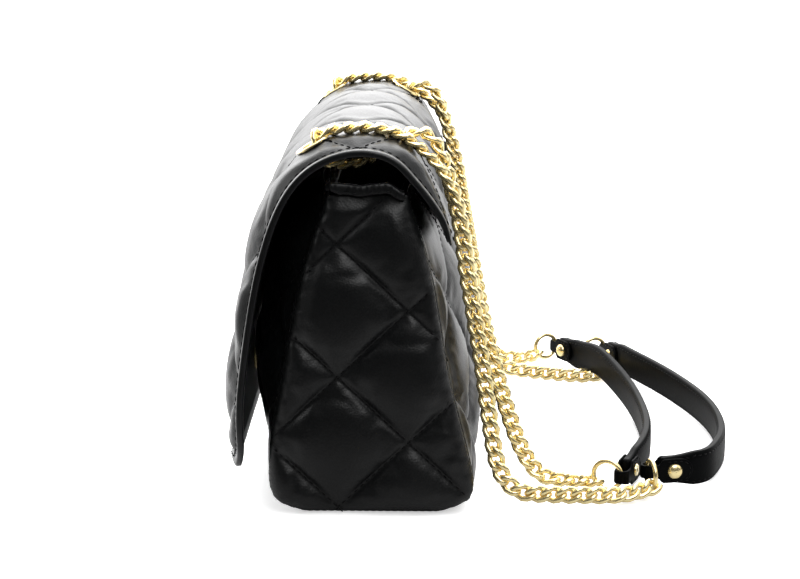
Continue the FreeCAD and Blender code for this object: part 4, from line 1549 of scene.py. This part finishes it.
@dataclass
class Chain:
    """A gold curb chain along a smooth line: twisted links, each through the next."""

    name: str
    route: Sequence[tuple[float, float, float]]
    nodes: Sequence[str]
    ring_first: Vector
    ring_last: Vector
    links: int
    half_length: float = 5.2 * MM
    half_width: float = 2.95 * MM
    twist: float = math.radians(-60)
    wire: float = 2.8 * MM
    reach: float = 2.2 * MM
    under_flap: float = -8.0
    rolling: int = 8
    flat_over: int = 11
    flat_behind: int = 5
    broad: float = math.radians(84)
    corners: int = 12
    sides: int = 6

    def line(self) -> np.ndarray:
        """Close points along the route's smooth spline.

        Returns:
            Rows of X, Y and Z.
        """
        data = bpy.data.curves.new(f"{self.name}_line", "CURVE")
        data.dimensions = "3D"
        data.resolution_u = 24
        spline = data.splines.new("NURBS")
        spline.points.add(len(self.route) - 1)
        for point, place in zip(spline.points, self.route):
            point.co = (*(Vector(place) * MM), 1)
        spline.order_u = 3
        spline.use_endpoint_u = True
        holder = bpy.data.objects.new(f"{self.name}_line", data)
        bpy.context.scene.collection.objects.link(holder)
        bpy.context.view_layer.update()
        mesh = bpy.data.meshes.new_from_object(holder.evaluated_get(bpy.context.evaluated_depsgraph_get()))
        points = np.array([v.co for v in mesh.vertices])
        bpy.data.objects.remove(holder)
        bpy.data.meshes.remove(mesh)
        return points

    def link(self) -> bpy.types.Mesh:
        """One twisted link about the origin, lying along X.

        Returns:
            The link's mesh.
        """
        bm = bmesh.new()
        bmesh.ops.create_circle(bm, segments=self.sides, radius=self.wire / 2)
        bmesh.ops.rotate(bm, verts=bm.verts, matrix=Matrix.Rotation(math.pi / 2, 3, "X"))
        bmesh.ops.translate(bm, verts=bm.verts, vec=(1, 0, 0))
        bmesh.ops.spin(
            bm, geom=bm.verts[:] + bm.edges[:], axis=UP, cent=(0, 0, 0), angle=2 * math.pi,
            steps=self.corners, use_merge=True)
        bmesh.ops.remove_doubles(bm, verts=bm.verts, dist=1e-6)
        for vert in bm.verts:
            around = math.atan2(vert.co.y, vert.co.x)
            out = math.hypot(vert.co.x, vert.co.y) - 1
            along, across = math.cos(around), math.sin(around)
            foot = Vector((self.half_length * along, self.half_width * across, 0))
            facing = Vector((self.half_width * along, self.half_length * across, 0)).normalized()
            place = foot + facing * out + UP * vert.co.z
            vert.co = Matrix.Rotation(self.twist * along, 3, "X") @ place
        bmesh.ops.recalc_face_normals(bm, faces=bm.faces)
        mesh = bpy.data.meshes.new(f"{self.name}_link")
        bm.to_mesh(mesh)
        bm.free()
        return mesh

    def build(self, finishes: Finishes) -> None:
        """Args:
            finishes: the bag's finishes.
        """
        points = self.line()
        steps = np.concatenate([[0], np.cumsum(np.linalg.norm(np.diff(points, axis=0), axis=1))])
        length = float(steps[-1])
        spots = np.linspace(self.reach, length - self.reach, self.links)

        def at(distance: float) -> Vector:
            """Point at a distance along the chain."""
            return Vector([np.interp(distance, steps, column) for column in points.T])

        tangents = [(at(spot + self.reach) - at(spot - self.reach)).normalized() for spot in spots]
        low = Vector(min(self.route, key=lambda place: abs(place[1] - self.under_flap))) * MM
        middle = min(range(self.links), key=lambda i: (at(spots[i]) - low).length)
        widths = self.carried(tangents, middle)
        rolls = self.rolls(tangents, widths, middle)
        link = self.link()
        bm = bmesh.new()
        for spot, along, width, roll in zip(spots, tangents, widths, rolls):
            before = len(bm.verts)
            bm.from_mesh(link)
            bm.verts.ensure_lookup_table()
            turned = Matrix.Rotation(roll, 3, along) @ width
            turn = Matrix((along, turned, along.cross(turned))).transposed().to_4x4()
            bmesh.ops.transform(bm, matrix=Matrix.Translation(at(spot)) @ turn, verts=bm.verts[before:])
        piece = new_object(self.name, bm, finishes.gold)
        bpy.data.meshes.remove(link)
        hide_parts(*self.nodes)
        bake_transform(piece)
        2 * self.half_width + self.wire
        LOG.info("%s: %d links, %.0f mm", self.name, self.links, length / MM)

    @staticmethod
    def carried(tangents: Sequence[Vector], middle: int) -> list[Vector]:
        """Sideways directions carried along the chain without twist, level under the flap.

        Args:
            tangents: the links' directions.
            middle: number of the link under the flap.

        Returns:
            One direction to a link.
        """
        widths = [ACROSS] * len(tangents)
        for steps, back in ((range(middle + 1, len(tangents)), -1), (range(middle - 1, -1, -1), 1)):
            for i in steps:
                carried = widths[i + back]
                widths[i] = (carried - tangents[i] * carried.dot(tangents[i])).normalized()
        return widths

    def rolls(self, tangents: Sequence[Vector], widths: Sequence[Vector], middle: int) -> list[float]:
        """Roll of each link: flat on the flap, broad where the chain hangs, and square to its rings.

        Args:
            tangents: the links' directions.
            widths: their sideways directions.
            middle: number of the link under the flap.

        Returns:
            One angle to a link.
        """
        last = len(tangents) - 1
        rolls = []
        for i in range(last + 1):
            flat = self.flat_over if i < middle else self.flat_behind
            rolls.append(self.broad * eased(abs(i - middle), flat, flat + self.rolling))
        for wire, end, step, lean in (
            (self.ring_first, 0, 1, self.twist), (self.ring_last, last, -1, -self.twist)):
            normal = tangents[end].cross(widths[end])
            roll = math.atan2(wire.dot(normal), wire.dot(widths[end])) - lean
            roll -= math.pi * round((roll - self.broad) / math.pi)
            for i in range(self.rolling):
                share = eased(i, 0, self.rolling)
                rolls[end + step * i] = roll * (1 - share) + self.broad * share
        return rolls


@dataclass
class StrapEnd:
    """The end of a pad: where its tab folds round the ring and which way the pad runs from there."""

    name: str
    loop: Vector
    inward: Vector
    outward: int

    @property
    def across(self) -> Vector:
        """Level direction square to the pad."""
        return UP.cross(self.inward)

    def wire_direction(self, centre: Vector) -> Vector:
        """Direction of the ring's wire where the chain hangs on it.

        Args:
            centre: the ring's centre.

        Returns:
            The direction.
        """
        out = centre - self.loop
        out = (out - self.inward * out.dot(self.inward)).normalized()
        lean = math.radians(35)
        return out * math.sin(lean) + UP * math.cos(lean)


@dataclass
class Straps:
    """The two shoulder pads and the tabs that join them to the rings."""

    height: float = 16.5 * MM
    end_height: float = 12.5 * MM
    half: float = 2.0 * MM
    crown: float = 0.35 * MM
    centre: float = 8.95 * MM
    start: float = 5.5 * MM
    tab_length: float = 21.0 * MM
    tab_leather: float = 1.3 * MM
    tab_gap: float = 0.15 * MM
    neck: float = 3.1 * MM

    def ends(self) -> dict[str, StrapEnd]:
        """The four ends of the pads by name.

        Returns:
            The ends.
        """
        made = {}
        for name, loop, inward, lift, outward in (
            ("right_inner", (94, 115), (-0.936, 0.351), 0, 1),
            ("right_outer", (85, 128), (-0.225, 0.974), 0, -1),
            ("left_inner", (-147, 98.5), (0.89, 0.456), 3, -1),
            ("left_outer", (-150, 127), (0.94, 0.34), 0, 1)):
            place = Vector((loop[0] * MM, loop[1] * MM, self.centre + lift * MM))
            made[name] = StrapEnd(name, place, Vector((*inward, 0)).normalized(), outward)
        return made

    def build(self, finishes: Finishes) -> None:
        """Make pads and tabs.

        Args:
            finishes: the bag's finishes.
        """
        ends = self.ends()
        runs = {
            "inner": [(40, 131.5, 0), (0, 134, 0), (-41, 131.5, 1.5), (-79, 124.5, 4.5), (-104, 117.5, 5.8)],
            "outer": [(76, 155.5, 0), (67, 160.5, 0), (50, 166, 0), (20, 170, 0), (-15, 168.5, 0),
                      (-50, 161.5, 0), (-85, 151, 0)]}
        for name, run in runs.items():
            self.pad(name, ends[f"right_{name}"], ends[f"left_{name}"], run, finishes)
        for end in ends.values():
            self.tab(end, finishes)

    def pad(
        self, name: str, first: StrapEnd, last: StrapEnd, run: Sequence[tuple[float, float, float]],
        finishes: Finishes,
    ) -> None:
        """One padded strap with stitches along both edges.

        Args:
            name: which pad.
            first: its end at the bag's right.
            last: its end at the bag's left.
            run: places between the ends in millimetres, with their lift.
            finishes: the bag's finishes.
        """
        straight = self.tab_length + 1 * MM
        steps = np.linspace(self.start, straight, 5)
        near = [first.loop + first.inward * s for s in steps]
        far = [last.loop + last.inward * s for s in reversed(steps)]
        middle = [Vector((x * MM, y * MM, self.centre + lift * MM)) for x, y, lift in run]
        line = Profile([tuple(p / MM) for p in near + middle + far], 3)
        spots = np.linspace(0, line.length, 120)
        centres = [Vector(line.at(s)) for s in spots]
        sides = []
        for spot in spots:
            along = line.toward(spot)
            sides.append(UP.cross(Vector((along[0], along[1], 0))).normalized())

        def half_height(k: int) -> float:
            """Half the pad's height, drawn in towards its ends.

            Args:
                k: number of the place along the pad.

            Returns:
                The half height.
            """
            from_end = min(spots[k], line.length - spots[k])
            share = min(from_end / (straight - self.start), 1)
            return (self.end_height + (self.height - self.end_height) * share ** 2) / 2

        def section(k: int) -> list[tuple[float, float]]:
            """Two straps sewn together, with a groove between them at the edges.

            Args:
                k: number of the place along the pad.

            Returns:
                Points as width and thickness.
            """
            tall = half_height(k)
            points = []
            for wide, thick in soft_section(tall, self.half, self.crown, 36):
                groove = 0.18 * MM if abs(thick) < 0.3 * MM else 0
                points.append((wide - math.copysign(groove, wide), thick))
            return points

        pad = swept(
            f"{name}_pad_leather", centres, [UP] * len(spots), sides, section, finishes.strap)
        rounded(pad)
        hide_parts(f"{name}_pad", f"{name}_pad_backing")
        stitching = Stitching(length=2.4 * MM, gap=0.9 * MM, width=0.6 * MM, height=0.5 * MM)
        fine = np.linspace(0.02 * line.length, 0.98 * line.length, int(line.length / (0.4 * MM)))
        for face in (1, -1):
            for rim in (1, -1):
                places, outwards = [], []
                for spot in fine:
                    k = int(round(spot / line.length * (len(spots) - 1)))
                    lift = UP * (rim * (half_height(k) - 2.0 * MM))
                    places.append(Vector(line.at(spot)) + lift + sides[k] * (face * self.half * 1.02))
                    outwards.append(sides[k] * face)
                stitching.row(places, outwards)
        for piece in (pad, stitching.piece(f"{name}_pad_stitches", finishes)):
            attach(piece, "bag")

    def tab(self, end: StrapEnd, finishes: Finishes) -> None:
        """One leather tab folded round its ring, with a row of stitches near its edge.

        Args:
            end: the pad's end that it holds.
            finishes: the bag's finishes.
        """
        inner = self.half + 0.2 * MM + self.tab_gap
        middle = inner + self.tab_leather / 2
        leg = self.tab_length
        bend = math.pi * middle
        total = 2 * leg + bend
        tall = self.end_height / 2 - 0.4 * MM
        shoulder = self.start + 1.5 * MM
        taper = 3.0 * MM

        def spot(s: float) -> tuple[Vector, Vector, float]:
            """Place, facing and distance from the ring of a point along the tab.

            Args:
                s: distance along the tab.

            Returns:
                The place, the facing and the distance.
            """
            if s < leg:
                return end.loop + end.inward * (leg - s) + end.across * middle, end.across, leg - s
            if s > leg + bend:
                run = s - leg - bend
                return end.loop + end.inward * run - end.across * middle, -end.across, run
            turn = (s - leg) / middle
            facing = end.across * math.cos(turn) - end.inward * math.sin(turn)
            return end.loop + facing * middle, facing, -middle * math.sin(turn)

        def half_wide(run: float) -> float:
            """Half the tab's width at a distance from the ring.

            Args:
                run: the distance.

            Returns:
                The half width.
            """
            near_end = leg - run
            body = self.neck + (tall - self.neck) * eased(run, shoulder - taper, shoulder)
            if near_end < tall:
                return max(math.sqrt(max(tall * tall - (tall - near_end) ** 2, 0)), 0.6 * MM)
            return body

        along = np.linspace(0, total, 90)
        spots = [spot(s) for s in along]

        def section(k: int) -> list[tuple[float, float]]:
            """Leather strip with rounded edges."""
            return soft_section(half_wide(spots[k][2]), self.tab_leather / 2, 0.0, 20)

        tab = swept(
            f"{end.name}_tab_leather", [p for p, _, _ in spots], [UP] * len(spots),
            [f for _, f, _ in spots], section, finishes.strap)
        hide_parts(f"{end.name}_tab")
        stitching = Stitching(length=2.0 * MM, gap=0.9 * MM, width=0.6 * MM, height=0.5 * MM)
        for face in (1, -1):
            surface = end.across * (face * (middle + self.tab_leather / 2 + 0.05 * MM))
            places = []
            for turn in np.linspace(0, 1, 240):
                places.append(end.loop + surface + self.tab_seam(end, turn, tall))
            stitching.row(places, [end.across * face] * len(places))
        for piece in (tab, stitching.piece(f"{end.name}_tab_stitches", finishes)):
            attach(piece, "bag")

    def tab_seam(self, end: StrapEnd, share: float, tall: float) -> Vector:
        """Place on a tab's seam: along its lower edge, round its end and back along the upper one.

        Args:
            end: the pad's end.
            share: how far along the seam, 0 to 1.
            tall: half the tab's height.

        Returns:
            The place, from the ring.
        """
        inset = tall - 1.3 * MM
        start = self.start + 2.2 * MM
        straight = self.tab_length - tall - start
        arc = math.pi * inset
        run = share * (2 * straight + arc)
        if run < straight:
            return end.inward * (start + run) - UP * inset
        if run > straight + arc:
            return end.inward * (start + 2 * straight + arc - run) + UP * inset
        turn = (run - straight) / inset - math.pi / 2
        return end.inward * (start + straight + inset * math.cos(turn)) + UP * (inset * math.sin(turn))


class Hardware:
    """The metal parts and the board that keep their solids and take a finish."""

    GOLD = [f"{row}_{side}_{kind}" for row in ("front", "back") for side in ("right", "left")
            for kind in ("eyelet", "washer")]
    GOLD += [f"{side}_{row}_ring" for side in ("right", "left") for row in ("inner", "outer")]
    GOLD += ["rivets", "snap_stud", "snap_socket"]

    def dress(self, finishes: Finishes) -> None:
        """Give each solid its finish.

        Args:
            finishes: the bag's finishes.
        """
        for name in self.GOLD:
            self.paint(name, finishes.gold)
        self.paint("base_board", finishes.board)

    @staticmethod
    def paint(name: str, material: bpy.types.Material) -> None:
        """Put one finish on a solid, shaded smoothly but for its corners.

        Args:
            name: the solid's node.
            material: the finish.
        """
        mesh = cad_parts[name].data
        mesh.materials.clear()
        mesh.materials.append(material)
        mesh.shade_smooth()
        mesh.set_sharp_from_angle(angle=math.radians(40))
        LOG.info("%s dressed", name)


@dataclass
class Studio:
    """White floor and surround, soft lamps, and the camera with its focal length and width in pixels."""

    eye: Vector = field(default_factory=lambda: Vector((1.0223, 0.0267, 0.3005)))
    focal: float = 2086.5
    image_width: float = 800.0
    sensor: float = 36.0
    pitch: float = math.radians(12.351)
    yaw: float = math.radians(0.896)
    floor_glow: float = 0.55

    def build(self) -> None:
        """Set the stage."""
        bpy.context.scene.view_settings.view_transform = "Standard"
        self.camera()
        self.floor()
        self.surround()
        self.lamp("top_softbox", (0.0, 0.05, 1.25), (0.05, 0, 0), 1.2, 9)
        self.lamp("left_fill", (0.15, -1.30, 0.70), (0, 0, 0.1), 0.7, 5)
        self.lamp("far_left_fill", (-0.80, -0.72, 0.42), (0, -0.03, 0.1), 0.6, 3.0)
        self.lamp("front_fill", (0.90, 0.50, 1.25), (0, 0.05, 0.1), 1.1, 13)
        self.lamp("right_fill", (0.15, 1.30, 0.75), (0, 0.05, 0.1), 0.8, 2.2)

    def camera(self) -> None:
        """The photograph's viewpoint."""
        data = bpy.data.cameras.new("camera")
        data.sensor_width = self.sensor
        data.lens = self.focal / self.image_width * self.sensor
        data.clip_start = 0.05
        data.clip_end = 50
        camera = bpy.data.objects.new("camera", data)
        bpy.context.scene.collection.objects.link(camera)
        camera.location = self.eye
        level = math.cos(self.pitch)
        toward = Vector((-level * math.cos(self.yaw), -level * math.sin(self.yaw), -math.sin(self.pitch)))
        camera.rotation_euler = toward.to_track_quat("-Z", "Y").to_euler()
        bpy.context.scene.camera = camera

    def floor(self) -> None:
        """A wide white floor that keeps the shadows and looks dimmer in reflections."""
        bm = bmesh.new()
        bmesh.ops.create_grid(bm, x_segments=1, y_segments=1, size=12)
        mesh = bpy.data.meshes.new("floor")
        bm.to_mesh(mesh)
        bm.free()
        floor = bpy.data.objects.new("floor", mesh)
        floor.location.z = -0.3 * MM
        bpy.context.scene.collection.objects.link(floor)
        shader = Shader("white_floor")
        light = shader.node("ShaderNodeLightPath")
        seen = shader.value(light, "Is Camera Ray")
        mirrored = shader.value(light, "Is Glossy Ray")
        glow = shader.node("ShaderNodeEmission", None, {"Color": (1, 1, 1, 1), "Strength": self.floor_glow})
        lit = shader.node("ShaderNodeAddShader", None, {0: shader.surface.outputs[0], 1: glow.outputs[0]})
        shown = shader.node("ShaderNodeMixShader", None, {
            0: seen, 1: shader.surface.outputs[0], 2: lit.outputs[0]})
        split = shader.node("ShaderNodeSeparateXYZ", None, {0: shader.place})
        ahead = shader.value(split, "X") * 3
        dim = ahead.math("MAXIMUM", 0.0).math("MINIMUM", 1.0) * 0.85 + 0.1
        dark = shader.node("ShaderNodeEmission", None, {"Strength": 0.0})
        mixed = shader.node("ShaderNodeMixShader", None, {
            0: mirrored * dim, 1: shown.outputs[0], 2: dark.outputs[0]})
        shader.feed(shader.tree.nodes["Material Output"].inputs[0], mixed.outputs[0])
        mesh.materials.append(shader.finish(Base_Color=(0.86, 0.86, 0.86, 1), Roughness=0.32))

    @staticmethod
    def surround() -> None:
        """White background; behind the camera the room is dim, beyond the bag it is bright."""
        world = bpy.data.worlds.new("surround")
        bpy.context.scene.world = world
        world.use_nodes = True
        nodes = Nodes(world.node_tree)
        light = nodes.node("ShaderNodeLightPath")
        place = nodes.node("ShaderNodeTexCoord")
        split = nodes.node("ShaderNodeSeparateXYZ", None, {0: place.outputs["Generated"]})
        away = nodes.value(split, "X") * -0.5 + 0.5
        above = nodes.value(split, "Z").math("MAXIMUM", 0.0)
        beyond = away ** 6 * (above * 15 + 1.4)
        glow = beyond + above ** 2 * 0.3 + 0.015
        seen = nodes.value(light, "Is Camera Ray")
        ground = nodes.tree.nodes["Background"]
        nodes.feed(ground.inputs["Color"], (1, 1, 1, 1))
        nodes.feed(ground.inputs["Strength"], seen + (1 - seen) * glow)

    @staticmethod
    def lamp(name: str, place: tuple, target: tuple, size: float, power: float) -> None:
        """A square soft lamp aimed at a target.

        Args:
            name: its name.
            place: where it hangs.
            target: what it is aimed at.
            size: its side.
            power: its power in watts.
        """
        data = bpy.data.lights.new(name, "AREA")
        data.size = size
        data.energy = power
        lamp = bpy.data.objects.new(name, data)
        lamp.location = place
        lamp.rotation_euler = (Vector(target) - Vector(place)).to_track_quat("-Z", "Y").to_euler()
        bpy.context.scene.collection.objects.link(lamp)


def main() -> None:
    """Build and dress the bag, set the stage and note the sizes."""
    logging.basicConfig(level=logging.INFO, format="%(message)s")
    finishes = Finishes()
    Hardware().dress(finishes)
    straps = Straps()
    ends = straps.ends()
    wires = {}
    for name, end in ends.items():
        low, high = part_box(f"{name}_ring")
        wires[name] = end.wire_direction((low + high) / 2)
    Chain("right_chain", RIGHT_ROUTE, ["right_outer_chain", "right_top_chain", "right_inner_chain"],
          wires["right_outer"], wires["right_inner"], links=79).build(finishes)
    Chain("left_chain", LEFT_ROUTE, ["left_inner_chain", "left_top_chain", "left_outer_chain"],
          wires["left_inner"], wires["left_outer"], links=84).build(finishes)
    straps.build(finishes)
    Body().build(finishes)
    Flap().build(finishes)
    Studio().build()


if __name__ == "__main__":
    main()
